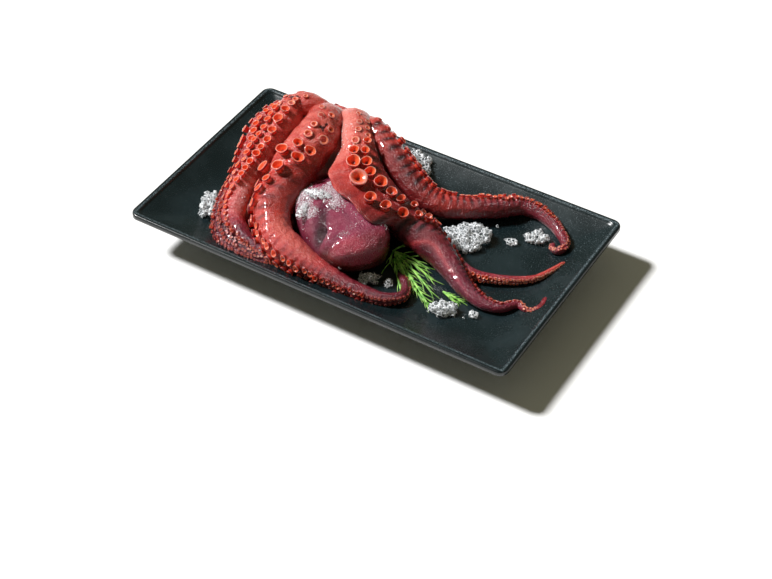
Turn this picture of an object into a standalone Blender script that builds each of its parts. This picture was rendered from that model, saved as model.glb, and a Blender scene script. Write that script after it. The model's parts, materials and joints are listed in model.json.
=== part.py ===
"""Whole cooked octopus lying on a rectangular stoneware platter, with crushed ice and dill.

Every length in this file is in millimetres until build_object turns it into metres. Heights
are counted from a level that is FOOT_DROP above the table, and stand_on_foot adds the drop.
+X runs along the platter's long side, +Z is up, and the platter stands on z = 0.
"""

import math

import bmesh
import bpy
import numpy as np
from mathutils import Matrix
from mathutils.bvhtree import BVHTree

METRE = 0.001
GAP = 0.4                 # clearance between touching pieces

# Platter: a flat floor, four rising sides that meet in mitres, and a foot ring that stands it up.
PLATE_LENGTH = 400.0
PLATE_WIDTH = 230.0
PLATE_HEIGHT = 24.0
FOOT_DROP = 18.0          # how far the foot ring reaches below the level that heights count from
PLATE_WALL = 5.6
FLOOR_TOP = 11.0
SLOPE_RUN = 42.0          # how far in from the edge the sides reach
SLOPE_BEND = 1.5          # exponent of the side's rise: 1 is straight
EDGE_ROUND = 1.6
CORNER_RADIUS = 9.0
FLOOR_CORNER_RADIUS = 2.5
CORNER_STEPS = 6
FOOT_INSET = 52.0
FOOT_WIDTH = 6.0
FOOT_ROUND = 1.0

# Octopus
VOXEL = 2.0
OCTOPUS_TRIANGLES = 6600
ARM_SIDES = 16
ARM_STEP = 4.0            # spacing of an arm's rings
SUCKER_SHARE = 0.42       # sucker radius over arm radius
SUCKER_LARGEST = 7.6
SUCKER_SMALLEST = 3.0     # smaller ones are left to the skin
SUCKER_ROW_ANGLE = math.radians(27.0)
WEB_HALF_THICKNESS = 4.0
MOUTH = (-92.0, 84.0, 46.0)
MOUTH_NORMAL = (-0.05, 0.78, 0.62)
MOUTH_LIFT = 8.0
MOUTH_RADIUS = 9.0
SUCKER_SIDES = 14
FIRST_SUCKER = 10.0       # how far along an arm its suckers start
SUCKER_SPACING = 1.12     # step between suckers of the two rows, in sucker radii
WEB_LINES = 10
WEB_STEPS = 7
MANTLE_STEP = 5.0

# Each arm: knots of (x, y, z, radius) from the crown to the tip, and the way its
# suckers face, as (knot number, direction).
ARMS = {
    "far_left": {
        "knots": (
            (-108, 78, 50, 12), (-129, 71, 55, 11.5), (-142, 55, 52, 11.5), (-147, 32, 47, 12),
            (-140.5, 8, 40, 12), (-134, -14, 33, 12), (-129.5, -38, 28, 12), (-125.5, -61, 24, 11),
            (-117, -80, 20.5, 10), (-104, -92, 19, 9), (-86, -97, 18.5, 8), (-68, -97, 17.5, 6.5),
            (-50, -93, 16, 5), (-34, -88, 15, 3),
        ),
        "oral": ((0, (-0.3, 0.6, 0.7)), (3, (-0.8, -0.1, 0.6)), (5, (-0.8, -0.2, 0.5)),
                 (7, (-0.5, -0.4, 0.75)), (9, (-0.15, -0.75, 0.65)), (13, (0.0, -0.8, 0.6))),
    },
    "left": {
        "knots": (
            (-103, 74, 54, 13), (-119, 70, 60, 14), (-130, 58, 60, 14), (-125, 37, 58, 15.5),
            (-124, 13, 53, 15.5), (-123, -10, 46, 15), (-122, -33, 38, 14), (-118, -53, 31, 13),
            (-111, -71, 27, 12), (-96, -83, 23, 10), (-78, -89, 20.5, 8), (-60, -90, 18.5, 6.5),
            (-44, -86, 16.5, 4.5), (-30, -82, 15, 2.5),
        ),
        "oral": ((0, (-0.2, 0.6, 0.75)), (3, (-0.3, -0.1, 0.95)), (5, (-0.7, -0.2, 0.7)),
                 (7, (-0.8, -0.45, 0.35)), (9, (-0.4, -0.75, 0.35)), (13, (0.0, -0.9, 0.4))),
    },
    "front": {
        "knots": (
            (-94, 73, 53, 14), (-93, 61, 61, 16.5), (-87, 43, 61, 20), (-85, 19, 57, 22),
            (-85, -5, 50, 22), (-82, -31, 43.5, 20), (-76, -57, 38, 17.5), (-58, -77, 32, 16),
            (-32, -85, 28, 14.5), (-9, -87, 23.5, 11.3), (12, -88, 21, 9.2), (40, -87, 19, 6.8),
            (64, -81, 17.5, 5.6), (72, -70, 16.5, 5), (68, -58, 16, 4.3), (60, -50, 15.5, 3.5),
            (51, -46, 15, 2.4),
        ),
        "oral": ((0, (-0.05, 0.6, 0.8)), (1, (0.1, 0.2, 0.97)), (2, (0.45, -0.1, 0.88)),
                 (4, (0.2, -0.2, 0.95)), (5, (-0.55, -0.4, 0.7)), (6, (-0.8, -0.5, 0.2)),
                 (7, (-0.5, -0.85, 0.0)), (9, (0.0, -1.0, -0.1)), (12, (0.5, -0.8, 0.1)),
                 (13, (0.9, -0.2, 0.1)), (16, (0.5, 0.8, 0.0))),
    },
    "middle": {
        "knots": (
            (-82, 76, 51, 13), (-68, 72, 60.5, 14), (-51, 51, 60, 16), (-36, 33, 55, 17),
            (-19, 18, 48, 18), (2, 7, 41, 19), (25, 2, 35, 18), (48, -2, 29, 17),
            (71, -9, 25, 14.5), (95, -22, 21.5, 11), (117, -35, 19, 8), (137, -41, 17, 6),
            (154, -37, 15.5, 4.6), (166, -24, 15, 3.4), (174, -27, 14.5, 2.9),
            (183, -19, 14.5, 2.4), (182, -5, 14.5, 1.8),
        ),
        "oral": ((0, (0.05, 0.6, 0.8)), (2, (0.30, -0.15, 0.95)), (3, (0.14, -0.22, 0.97)),
                 (4, (0.11, -0.35, 0.93)), (5, (0.14, -0.36, 0.92)), (6, (0.18, -0.33, 0.93)),
                 (7, (0.35, 0.45, 0.8)), (8, (0.5, 0.82, -0.3)), (10, (0.42, 0.86, -0.25)),
                 (11, (0.2, 0.8, 0.4)), (12, (-0.3, 0.6, 0.7)), (13, (-0.1, 0.6, 0.7)),
                 (14, (0.2, -0.3, 0.9)), (16, (0.8, -0.2, 0.5))),
    },
    "right": {
        "knots": (
            (-72, 79, 50, 12), (-46, 73, 57, 13.5), (-27, 62, 54, 14.5), (-9, 52, 48, 15),
            (8, 45, 40, 14), (25, 42, 32, 13), (44, 44, 26.5, 11.5), (60, 53, 24, 10.5),
            (77, 65, 23, 10.5), (94, 78, 22, 10), (109, 90, 20.5, 8.5), (125, 91, 19, 7),
            (141, 86, 17.5, 6), (155, 77, 16.5, 5), (165, 66, 16, 4.2), (163, 57, 15, 3.6),
            (156, 57, 15, 3), (154, 65, 15, 2.2),
        ),
        "oral": ((0, (0.3, 0.7, 0.65)), (2, (0.65, 0.65, 0.4)), (5, (0.6, 0.75, 0.25)),
                 (7, (0.1, 0.85, 0.45)), (9, (-0.2, 0.45, 0.87)), (11, (0.1, 0.5, 0.86)),
                 (13, (0.7, 0.5, 0.5)), (17, (-0.7, -0.5, 0.2))),
    },
    "thin": {
        "knots": (
            (-76, 84, 42, 11), (-52, 68, 33, 11), (-25, 45, 25, 10), (10, 24, 21, 9.5),
            (50, 8, 19, 8), (91, -7, 17.5, 6), (113, -12, 16.5, 5), (130, -7, 15.5, 4.4),
            (147, 2, 15, 3.8), (161, 14, 14.5, 3.1), (169, 32, 14, 2.5), (174, 48, 13.5, 1.8),
        ),
        "oral": ((0, (0.3, 0.7, 0.3)), (4, (0.4, -0.7, 0.3)), (11, (0.8, -0.5, 0.2))),
    },
    "back": {
        "knots": (
            (-88, 90, 38, 12), (-98, 97, 31, 11.5), (-116, 99, 27, 10.5), (-136, 94, 25, 9),
            (-151, 80, 21, 8), (-155, 62, 19, 7), (-147, 50, 17.5, 6), (-137, 56, 17, 5),
            (-135, 68, 16, 4), (-141, 74, 15.5, 3),
        ),
        "oral": ((0, (0.0, 1.0, 0.2)), (3, (-0.3, 0.9, 0.3)), (5, (-1.0, 0.2, 0.2)),
                 (8, (0.9, 0.0, 0.2))),
    },
    "under": {
        "knots": (
            (-106, 84, 42, 12), (-124, 76, 33, 12), (-134, 58, 26, 12), (-134, 34, 24, 12),
            (-130, 10, 23, 11.5), (-124, -14, 22.5, 11), (-110, -36, 22, 10.5),
            (-90, -46, 21, 9.5), (-70, -44, 20, 8), (-56, -34, 19, 6),
        ),
        "oral": ((0, (-0.6, 0.7, 0.2)), (4, (-0.3, 0.0, -0.9)), (9, (0.0, 0.0, -1.0))),
    },
}

# Webs: neighbours round the crown, how far along the arms each web reaches, and its sag.
WEBS = (
    ("far_left", "left", 0.24, 9.0),
    ("left", "front", 0.24, 12.0),
    ("front", "middle", 0.26, 6.0),
    ("middle", "right", 0.30, 8.0),
    ("right", "thin", 0.22, 2.0),
    ("back", "under", 0.20, 2.0),
    ("under", "far_left", 0.20, 2.0),
)

# Mantle: a closed bag lying forward from the head; knots of (x, y, z, half width, half height).
MANTLE = (
    (-96, 42, 30, 18, 12), (-82, 22, 30, 20, 12), (-62, -2, 30, 26, 14), (-44, -18, 34, 31, 21),
    (-22, -32, 35, 36, 23), (-5, -42, 34, 36.5, 23), (8, -51, 32.5, 34.5, 22),
    (17.5, -59, 30.5, 29, 20), (23.5, -64.5, 28, 20, 14), (26, -67, 27, 9, 6),
)
MANTLE_SIDES = 28
MANTLE_TOP_SHAPE = 0.62   # exponent of the section: 1 is round, less is boxier
MANTLE_FOOT_SHAPE = 0.5

# Lumps of flesh that fill the crown and the head: centre and half sizes.
BODY_LUMPS = (
    ((-91, 74, 43), (30, 17, 20)),
    ((-92, 56, 40), (38, 28, 22)),
    ((-104, 34, 34), (34, 34, 22)),
    ((-60, 48, 36), (30, 24, 21)),
    ((-94, 2, 30), (26, 30, 18)),
    ((-20, 34, 27), (34, 20, 16)),
    ((-145, 30, 28), (17, 42, 17)),
    ((-110, -32, 24), (20, 42, 14)),
    ((-124, 80, 36), (24, 17, 18)),
)

# Hanging edge of skin on the near side of the middle arm: (x, y, z) along its free edge.
SKIRT_EDGE = (
    (-69, 58, 58), (-54, 26, 60), (-44, -5, 63.5), (-34, -22, 64), (-19.5, -29.5, 63.5),
    (-1, -38, 65), (13, -44, 62), (23.5, -43.5, 57), (33, -38, 50.5), (39.5, -28.5, 43),
)
SKIRT_ARM = "middle"
SKIRT_SPAN = (0.05, 0.46)
SKIRT_STEP = 8.0
SKIRT_ROOT_HALF = 4.4     # half thickness where it leaves the arm
SKIRT_EDGE_HALF = 1.32    # half thickness at its free edge

# Ice: name, centre on the platter (x, y), half sizes (x, y), height, turn in degrees.
ICE_CLUMPS = (
    ("ice_left", (-150, -56), (11, 25), 13, 27),
    ("ice_back", (-8, 95), (23, 13), 14, -25),
    ("ice_middle", (82, 31), (35, 25), 17, 42),
    ("ice_small", (119, 47), (8, 6), 8, 20),
    ("ice_right", (137, 64), (13, 9), 11, 35),
    ("ice_front", (31, -65), (12, 8), 13, 25),
    ("ice_front_small", (51, -60), (5.5, 5), 9, 0),
    ("ice_corner", (111, -63), (18, 11), 14, 25),
    ("ice_corner_small", (136, -55), (6, 5), 7, 10),
)
ICE_ROUGHNESS = 0.26
ICE_HALF_SHARE = 0.62     # a clump's half height over its height, the rest being sunk
SHRINK = 0.93
SHRINK_TRIES = 12

# Clumps lying on the mantle: name, centre (x, y, z), half sizes, turn in degrees.
ICE_ON_BODY = (
    ("ice_neck", (-41, -33, 60), (17, 7, 5.5), 10),
    ("ice_fold", (-45, -53, 53), (6, 13, 5.5), 10),
)

# Dill: knots of (x, y, half width) from the stem to the top of the frond.
DILL_SPRIG = ((94, -64, 1.6), (84, -53, 3), (73, -43, 9), (62, -34, 12), (49, -24, 9), (36, -17, 2))
DILL_TIP = ((96, -41, 1.5), (104, -43, 4), (112, -46, 4), (119, -45, 1.2))
DILL_HEIGHT = 5.0
DILL_STEP = 4.0
DILL_NOTCH = 0.72         # width between two lobes over the width at a lobe
SEED = 11

COLOURS = {
    "plate": ((0.030, 0.040, 0.041), 0.42),
    "octopus": ((0.42, 0.07, 0.06), 0.30),
    "ice": ((0.78, 0.84, 0.86), 0.12),
    "dill": ((0.16, 0.36, 0.05), 0.55),
}


def clear_scene():
    """Remove whatever the file opened with."""
    for obj in list(bpy.data.objects):
        bpy.data.objects.remove(obj, do_unlink=True)


def make_material(name):
    """Return a plain Principled material in the named colour."""
    colour, roughness = COLOURS[name]
    material = bpy.data.materials.new(name)
    material.use_nodes = True
    shader = material.node_tree.nodes["Principled BSDF"]
    shader.inputs["Base Color"].default_value = (*colour, 1.0)
    shader.inputs["Roughness"].default_value = roughness
    shader.inputs["Metallic"].default_value = 0.0
    return material


def build_object(name, points, faces, material):
    """Link an object whose points are given in millimetres."""
    mesh = bpy.data.meshes.new(name)
    mesh.from_pydata([tuple(p) for p in np.asarray(points) * METRE], [], [list(f) for f in faces])
    mesh.update()
    obj = bpy.data.objects.new(name, mesh)
    bpy.context.scene.collection.objects.link(obj)
    mesh.materials.append(material)
    mesh.shade_smooth()
    mesh.set_sharp_from_angle(angle=math.radians(40))
    return obj


def unit(vector):
    """Return the vectors scaled to length one, along the last axis."""
    vector = np.asarray(vector, dtype=float)
    return vector / np.linalg.norm(vector, axis=-1, keepdims=True)


def smooth_path(knots, step):
    """Read a smooth curve through the knots, about one row every step of its length."""
    knots = np.asarray(knots, dtype=float)
    spans = np.linalg.norm(np.diff(knots[:, :3], axis=0), axis=1)
    place = np.concatenate(([0.0], np.cumsum(spans)))
    slopes = np.gradient(knots, place, axis=0)
    count = max(3, int(round(place[-1] / step)) + 1)
    at = np.linspace(0.0, place[-1], count)
    cell = np.clip(np.searchsorted(place, at, side="right") - 1, 0, len(spans) - 1)
    length = spans[cell][:, None]
    t = ((at - place[cell]) / spans[cell])[:, None]
    start, end = knots[cell], knots[cell + 1]
    leave, arrive = slopes[cell] * length, slopes[cell + 1] * length
    return ((2 * t**3 - 3 * t**2 + 1) * start + (t**3 - 2 * t**2 + t) * leave
            + (3 * t**2 - 2 * t**3) * end + (t**3 - t**2) * arrive)


def arm_frames(arm):
    """Return an arm's centres, radii and unit vectors along, towards the suckers and across."""
    knots = np.asarray(arm["knots"], dtype=float)
    numbers = [number for number, _ in arm["oral"]]
    directions = np.array([unit(direction) for _, direction in arm["oral"]])
    oral = [np.interp(range(len(knots)), numbers, directions[:, axis]) for axis in range(3)]
    path = smooth_path(np.column_stack([knots, *oral]), ARM_STEP)
    centres, radii = path[:, :3], path[:, 3]
    along = unit(np.gradient(centres, axis=0))
    facing = path[:, 4:]
    facing = unit(facing - np.sum(facing * along, axis=1)[:, None] * along)
    across = np.cross(along, facing)
    return centres, radii, along, facing, across


def loft(rings):
    """Return points and faces of a closed skin through rings of equal length."""
    count = len(rings[0])
    points = np.concatenate(rings)
    faces = [tuple(range(count))[::-1]]
    for ring in range(len(rings) - 1):
        for side in range(count):
            a = ring * count + side
            b = ring * count + (side + 1) % count
            faces.append((a, b, b + count, a + count))
    faces.append(tuple(range((len(rings) - 1) * count, len(rings) * count)))
    return points, faces


def tube(centres, first, second):
    """Loft an elliptical tube; first and second are the half-axis vectors at each centre."""
    turn = np.linspace(0.0, 2 * math.pi, ARM_SIDES, endpoint=False)
    rings = [c + np.outer(np.cos(turn), a) + np.outer(np.sin(turn), b)
             for c, a, b in zip(centres, first, second)]
    return loft(rings)


def arm_body(arm):
    """Return an arm's tapered body, a little flatter on its sucker side."""
    centres, radii, _, facing, across = arm_frames(arm)
    return tube(centres, facing * radii[:, None] * 0.95, across * radii[:, None])


def sucker(centre, axis, radius):
    """Return one sucker: a short stalk with a rim round a shallow cup."""
    side = unit(np.cross(axis, (0.31, 0.92, 0.24)))
    other = np.cross(axis, side)
    turn = np.linspace(0.0, 2 * math.pi, SUCKER_SIDES, endpoint=False)
    circle = np.outer(np.cos(turn), side) + np.outer(np.sin(turn), other)
    profile = ((0.80, -0.60), (0.95, 0.20), (0.90, 0.42), (0.55, 0.40), (0.20, 0.05))
    return loft([centre + circle * radius * wide + axis * radius * high for wide, high in profile])


def arm_suckers(arm):
    """Yield an arm's larger suckers, in two rows that take turns."""
    centres, radii, _, facing, across = arm_frames(arm)
    length = np.concatenate(([0.0], np.cumsum(np.linalg.norm(np.diff(centres, axis=0), axis=1))))
    place, side = FIRST_SUCKER, 1
    while place < length[-1]:
        index = int(np.searchsorted(length, place))
        ramp = min(1.0, 0.45 + place / 110.0)
        radius = min(SUCKER_LARGEST, SUCKER_SHARE * radii[index] * ramp)
        if radius > SUCKER_SMALLEST:
            tilt = side * SUCKER_ROW_ANGLE
            axis = facing[index] * math.cos(tilt) + across[index] * math.sin(tilt)
            yield sucker(centres[index] + axis * radii[index] * 0.96, axis, radius)
        place += radius * SUCKER_SPACING
        side = -side


def web(first, second, reach, sag):
    """Return the web of skin between two arms: a thick sheet hung from centre to centre."""
    rings = []
    lines = []
    for arm in (first, second):
        centres = arm_frames(arm)[0]
        stop = max(3, int(len(centres) * reach))
        index = np.linspace(0, stop, WEB_LINES).astype(int)
        lines.append(centres[index])
    share = np.linspace(0.0, 1.0, WEB_STEPS)
    for a, b in zip(*lines):
        middle = a + np.outer(share, b - a)
        middle[:, 2] -= sag * np.sin(share * math.pi)
        lift = np.array((0.0, 0.0, WEB_HALF_THICKNESS))
        rings.append(np.concatenate([middle + lift, middle[::-1] - lift]))
    return loft(rings)


def mantle_body():
    """Return the mantle: a bag that spreads a little where it rests."""
    path = smooth_path(MANTLE, MANTLE_STEP)
    along = unit(np.gradient(path[:, :3], axis=0))
    side = unit(np.cross(along, (0.0, 0.0, 1.0)))
    up = np.cross(side, along)
    turn = np.linspace(0.0, 2 * math.pi, MANTLE_SIDES, endpoint=False)
    shape = np.where(np.sin(turn) < 0.0, MANTLE_FOOT_SHAPE, MANTLE_TOP_SHAPE)
    wide = np.sign(np.cos(turn)) * np.abs(np.cos(turn)) ** shape
    high = np.sign(np.sin(turn)) * np.abs(np.sin(turn)) ** shape
    rings = [p[:3] + np.outer(wide * p[3], s) + np.outer(high * p[4], u)
             for p, s, u in zip(path, side, up)]
    return loft(rings)


def lump(centre, half):
    """Return an ellipsoid as lofted rings."""
    turn = np.linspace(0.0, 2 * math.pi, 20, endpoint=False)
    rings = []
    for angle in np.linspace(-0.47 * math.pi, 0.47 * math.pi, 11):
        ring = np.column_stack([np.cos(turn) * math.cos(angle), np.sin(turn) * math.cos(angle),
                                np.full_like(turn, math.sin(angle))])
        rings.append(np.asarray(centre) + ring * np.asarray(half))
    return loft(rings)


def skirt():
    """Return the hanging edge of skin on the near side of the middle arm."""
    centres = arm_frames(ARMS[SKIRT_ARM])[0]
    edge = smooth_path(SKIRT_EDGE, SKIRT_STEP)
    first, last = (int(len(centres) * share) for share in SKIRT_SPAN)
    root = centres[np.linspace(first, last, len(edge)).astype(int)]
    thick = np.array((0.0, 0.0, SKIRT_ROOT_HALF))
    thin = np.array((0.0, 0.0, SKIRT_EDGE_HALF))
    rings = [np.array([r + thick, e + thin, e - thin, r - thick]) for r, e in zip(root, edge)]
    return loft(rings)


def plate_top(x, y):
    """Return the height of the platter's upper surface."""
    inset = np.minimum(PLATE_LENGTH / 2 - np.abs(x), PLATE_WIDTH / 2 - np.abs(y))
    return side_height(inset)


def side_height(inset):
    """Return the upper surface's height at a distance in from the platter's edge."""
    rise = np.clip((SLOPE_RUN - np.asarray(inset)) / (SLOPE_RUN - EDGE_ROUND), 0.0, 1.0)
    return FLOOR_TOP + (PLATE_HEIGHT - FLOOR_TOP) * rise ** SLOPE_BEND


def rounded_rectangle(inset, height):
    """Return the platter's outline at one inset and height, its corners tighter further in."""
    half_x = PLATE_LENGTH / 2 - inset
    half_y = PLATE_WIDTH / 2 - inset
    share = min(1.0, inset / SLOPE_RUN)
    radius = CORNER_RADIUS + (FLOOR_CORNER_RADIUS - CORNER_RADIUS) * share
    points = []
    for quarter in range(4):
        sign_x = 1 if quarter in (0, 3) else -1
        sign_y = 1 if quarter in (0, 1) else -1
        for step in range(CORNER_STEPS + 1):
            angle = (quarter + step / CORNER_STEPS) * math.pi / 2
            points.append((sign_x * (half_x - radius) + radius * math.cos(angle),
                           sign_y * (half_y - radius) + radius * math.sin(angle), height))
    return np.array(points)


def build_plate(material):
    """Build the platter from rings: up the outside, over the edge and down to the floor."""
    foot = FOOT_INSET
    under = float(side_height(SLOPE_RUN)) - PLATE_WALL
    low = -FOOT_DROP
    profile = [(foot + FOOT_WIDTH + FOOT_ROUND, under), (foot + FOOT_WIDTH, low + FOOT_ROUND),
               (foot + FOOT_WIDTH - FOOT_ROUND, low), (foot + FOOT_ROUND, low),
               (foot, low + FOOT_ROUND), (foot - 2 * FOOT_ROUND, under)]
    for inset in (36.0, 27.0, 18.0, 9.0, EDGE_ROUND):
        profile.append((inset, float(side_height(inset)) - PLATE_WALL))
    profile += [(0.0, PLATE_HEIGHT - PLATE_WALL + 0.6), (0.0, PLATE_HEIGHT - EDGE_ROUND)]
    for inset in (EDGE_ROUND, 5.0, 11.0, 18.0, 25.0, 32.0, 37.0, SLOPE_RUN):
        profile.append((inset, float(side_height(inset))))
    points, faces = loft([rounded_rectangle(*ring) for ring in profile])
    return build_object("plate", points, faces, material)


def octopus_shapes():
    """Yield the points and faces of every overlapping shape that the octopus is made from."""
    for arm in ARMS.values():
        yield arm_body(arm)
        yield from arm_suckers(arm)
    for first, second, reach, sag in WEBS:
        yield web(ARMS[first], ARMS[second], reach, sag)
    for centre, half in BODY_LUMPS:
        yield lump(centre, half)
    yield mantle_body()
    yield skirt()
    yield sucker(np.asarray(MOUTH) + unit(MOUTH_NORMAL) * MOUTH_LIFT, unit(MOUTH_NORMAL), MOUTH_RADIUS)


def join_shapes(shapes):
    """Return one list of points and one of faces."""
    points, faces, offset = [], [], 0
    for shape_points, shape_faces in shapes:
        points.append(shape_points)
        faces += [tuple(corner + offset for corner in face) for face in shape_faces]
        offset += len(shape_points)
    return np.concatenate(points), faces


def add_skin_modifiers(obj):
    """Fuse the overlapping shapes into one skin, then thin its triangles."""
    remesh = obj.modifiers.new("fuse", "REMESH")
    remesh.mode = "VOXEL"
    remesh.voxel_size = VOXEL * METRE
    smooth = obj.modifiers.new("relax", "SMOOTH")
    smooth.factor = 0.5
    smooth.iterations = 2


def thin_triangles(obj, target):
    """Reduce the object to about the wanted number of triangles."""
    graph = bpy.context.evaluated_depsgraph_get()
    count = sum(len(p.vertices) - 2 for p in obj.evaluated_get(graph).data.polygons)
    decimate = obj.modifiers.new("thin", "DECIMATE")
    decimate.decimate_type = "COLLAPSE"
    decimate.ratio = target / count


def keep_largest_island(bm):
    """Delete every connected piece of the mesh except the largest."""
    islands, seen = [], set()
    for start in bm.verts:
        if start in seen:
            continue
        island, stack = [], [start]
        seen.add(start)
        while stack:
            vert = stack.pop()
            island.append(vert)
            for edge in vert.link_edges:
                other = edge.other_vert(vert)
                if other not in seen:
                    seen.add(other)
                    stack.append(other)
        islands.append(island)
    largest = max(islands, key=len)
    for island in islands:
        if island is not largest:
            bmesh.ops.delete(bm, geom=island, context="VERTS")


def build_octopus(material):
    """Build the octopus as one skin that rests on the platter."""
    raw = build_object("octopus_raw", *join_shapes(octopus_shapes()), material)
    add_skin_modifiers(raw)
    thin_triangles(raw, OCTOPUS_TRIANGLES)
    graph = bpy.context.evaluated_depsgraph_get()
    mesh = bpy.data.meshes.new_from_object(raw.evaluated_get(graph))
    bpy.data.objects.remove(raw, do_unlink=True)
    bm = bmesh.new()
    bm.from_mesh(mesh)
    keep_largest_island(bm)
    bmesh.ops.triangulate(bm, faces=bm.faces[:])
    points = np.array([v.co for v in bm.verts]) / METRE
    points[:, 2] = np.maximum(points[:, 2], plate_top(points[:, 0], points[:, 1]) + GAP)
    bm.verts.index_update()
    faces = [tuple(v.index for v in f.verts) for f in bm.faces]
    bm.free()
    bpy.data.meshes.remove(mesh)
    return build_object("octopus", points, faces, material)


def clear_of(points, tree, margin):
    """Move points that lie inside or close to the octopus out to the margin."""
    moved = points.copy()
    for index, point in enumerate(points):
        near, normal, _, _ = tree.find_nearest(tuple(point * METRE))
        offset = np.asarray(normal)
        distance = float(np.dot(point * METRE - np.asarray(near), offset)) / METRE
        if distance < margin:
            moved[index] = point + offset * (margin - distance)
    return moved


def blob(random, half, turn):
    """Return a lumpy closed pebble centred on the origin."""
    bm = bmesh.new()
    bmesh.ops.create_icosphere(bm, subdivisions=2, radius=1.0)
    points = np.array([v.co for v in bm.verts])
    faces = [tuple(v.index for v in f.verts) for f in bm.faces]
    bm.free()
    points *= 1.0 + random.uniform(-ICE_ROUGHNESS, ICE_ROUGHNESS * 0.6, (len(points), 1))
    points *= np.asarray(half)
    angle = math.radians(turn)
    spin = np.array(((math.cos(angle), math.sin(angle), 0.0),
                     (-math.sin(angle), math.cos(angle), 0.0), (0.0, 0.0, 1.0)))
    return points @ spin, faces


def settle(points, tree):
    """Lift points onto the platter and clear of the octopus, both with the gap."""
    for _ in range(3):
        points = clear_of(points, tree, 3 * GAP)
        points[:, 2] = np.maximum(points[:, 2], plate_top(points[:, 0], points[:, 1]) + GAP)
    return points


def shrink_clear(points, faces, tree):
    """Shrink a solid about its centre until it no longer meets the octopus."""
    centre = points.mean(axis=0)
    for _ in range(SHRINK_TRIES):
        own = BVHTree.FromPolygons([tuple(p) for p in points * METRE], faces)
        if not own.overlap(tree):
            break
        points = centre + (points - centre) * SHRINK
        points[:, 2] = np.maximum(points[:, 2], plate_top(points[:, 0], points[:, 1]) + GAP)
    return points


def build_ice(tree, material):
    """Build each clump of crushed ice as one uneven solid."""
    random = np.random.default_rng(SEED)
    for name, (x, y), (half_x, half_y), height, turn in ICE_CLUMPS:
        points, faces = blob(random, (half_x, half_y, height * ICE_HALF_SHARE), turn)
        points += (x, y, float(plate_top(x, y)) + height * (1.0 - ICE_HALF_SHARE))
        build_object(name, shrink_clear(settle(points, tree), faces, tree), faces, material)
    for name, centre, half, turn in ICE_ON_BODY:
        points, faces = blob(random, half, turn)
        points = settle(points + np.asarray(centre), tree)
        build_object(name, shrink_clear(points, faces, tree), faces, material)


def frond(knots):
    """Return a low frond with a lobed outline, lying on the platter's floor."""
    path = smooth_path([(x, y, 0.0, half) for x, y, half in knots], DILL_STEP)
    along = unit(np.gradient(path[:, :3], axis=0))
    side = np.cross(along, (0.0, 0.0, 1.0))
    rings = []
    for number, (row, across) in enumerate(zip(path, side)):
        half = row[3] * (1.0 if number % 2 else DILL_NOTCH)
        floor = FLOOR_TOP + GAP + 0.2
        high = DILL_HEIGHT * min(1.0, half / 6.0)
        offsets = ((-1.0, 0.2), (-0.5, 0.8), (0.0, 1.0), (0.5, 0.8), (1.0, 0.2), (0.0, 0.0))
        rings.append(np.array([row[:3] + across * half * wide + (0.0, 0.0, floor + high * up)
                               for wide, up in offsets]))
    return loft(rings)


def build_dill(tree, material):
    """Build the sprig of dill and the loose tip beside it."""
    for name, knots in (("dill_sprig", DILL_SPRIG), ("dill_tip", DILL_TIP)):
        points, faces = frond(knots)
        build_object(name, shrink_clear(settle(points, tree), faces, tree), faces, material)


def stand_on_foot():
    """Lift every mesh so that the foot ring stands on z = 0."""
    for obj in bpy.context.scene.objects:
        obj.data.transform(Matrix.Translation((0.0, 0.0, FOOT_DROP * METRE)))


def main():
    """Build every piece and stand the whole on the table."""
    clear_scene()
    materials = {name: make_material(name) for name in COLOURS}
    build_plate(materials["plate"])
    octopus = build_octopus(materials["octopus"])
    bpy.context.view_layer.update()
    tree = BVHTree.FromObject(octopus, bpy.context.evaluated_depsgraph_get())
    build_ice(tree, materials["ice"])
    build_dill(tree, materials["dill"])
    stand_on_foot()


main()
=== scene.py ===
"""Looks of a whole cooked octopus on a dark stoneware platter, with crushed ice and dill.

Lengths are millimetres until make_mesh turns them into metres. Heights are counted from a level
that is FOOT_DROP above the table, and hand_over adds the drop.
"""
import json
import logging
import math
from dataclasses import dataclass, field
from enum import Enum
from typing import Any, Iterable, Sequence

import bmesh
import bpy
import numpy as np
from mathutils import Matrix, Vector

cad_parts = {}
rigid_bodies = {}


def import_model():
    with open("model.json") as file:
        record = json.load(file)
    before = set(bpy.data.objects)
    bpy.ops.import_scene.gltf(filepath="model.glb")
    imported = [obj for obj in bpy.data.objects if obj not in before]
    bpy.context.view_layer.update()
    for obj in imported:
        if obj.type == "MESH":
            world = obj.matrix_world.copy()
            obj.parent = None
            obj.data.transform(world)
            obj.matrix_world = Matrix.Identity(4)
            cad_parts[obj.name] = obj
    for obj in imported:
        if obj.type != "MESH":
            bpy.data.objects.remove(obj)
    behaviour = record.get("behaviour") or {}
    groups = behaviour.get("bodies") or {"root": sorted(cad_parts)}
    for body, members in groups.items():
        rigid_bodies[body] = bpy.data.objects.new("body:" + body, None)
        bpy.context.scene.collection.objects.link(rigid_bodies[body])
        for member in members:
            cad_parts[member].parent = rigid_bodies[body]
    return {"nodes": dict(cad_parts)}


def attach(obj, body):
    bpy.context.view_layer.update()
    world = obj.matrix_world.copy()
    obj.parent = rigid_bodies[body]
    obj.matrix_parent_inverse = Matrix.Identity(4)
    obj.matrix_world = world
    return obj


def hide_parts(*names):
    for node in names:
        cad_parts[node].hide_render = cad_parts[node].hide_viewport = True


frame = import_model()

log = logging.getLogger("octopus")

METRE = 0.001
FOOT_DROP = 18.0
BODY = "root"
Knots = Sequence[Sequence[float]]
Colour = tuple[float, float, float]


# ---------------------------------------------------------------- numbers and curves

def unit(vector: Any) -> np.ndarray:
    """Return the vectors scaled to length one along the last axis."""
    vector = np.asarray(vector, dtype=float)
    return vector / np.maximum(np.linalg.norm(vector, axis=-1, keepdims=True), 1e-9)


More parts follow.
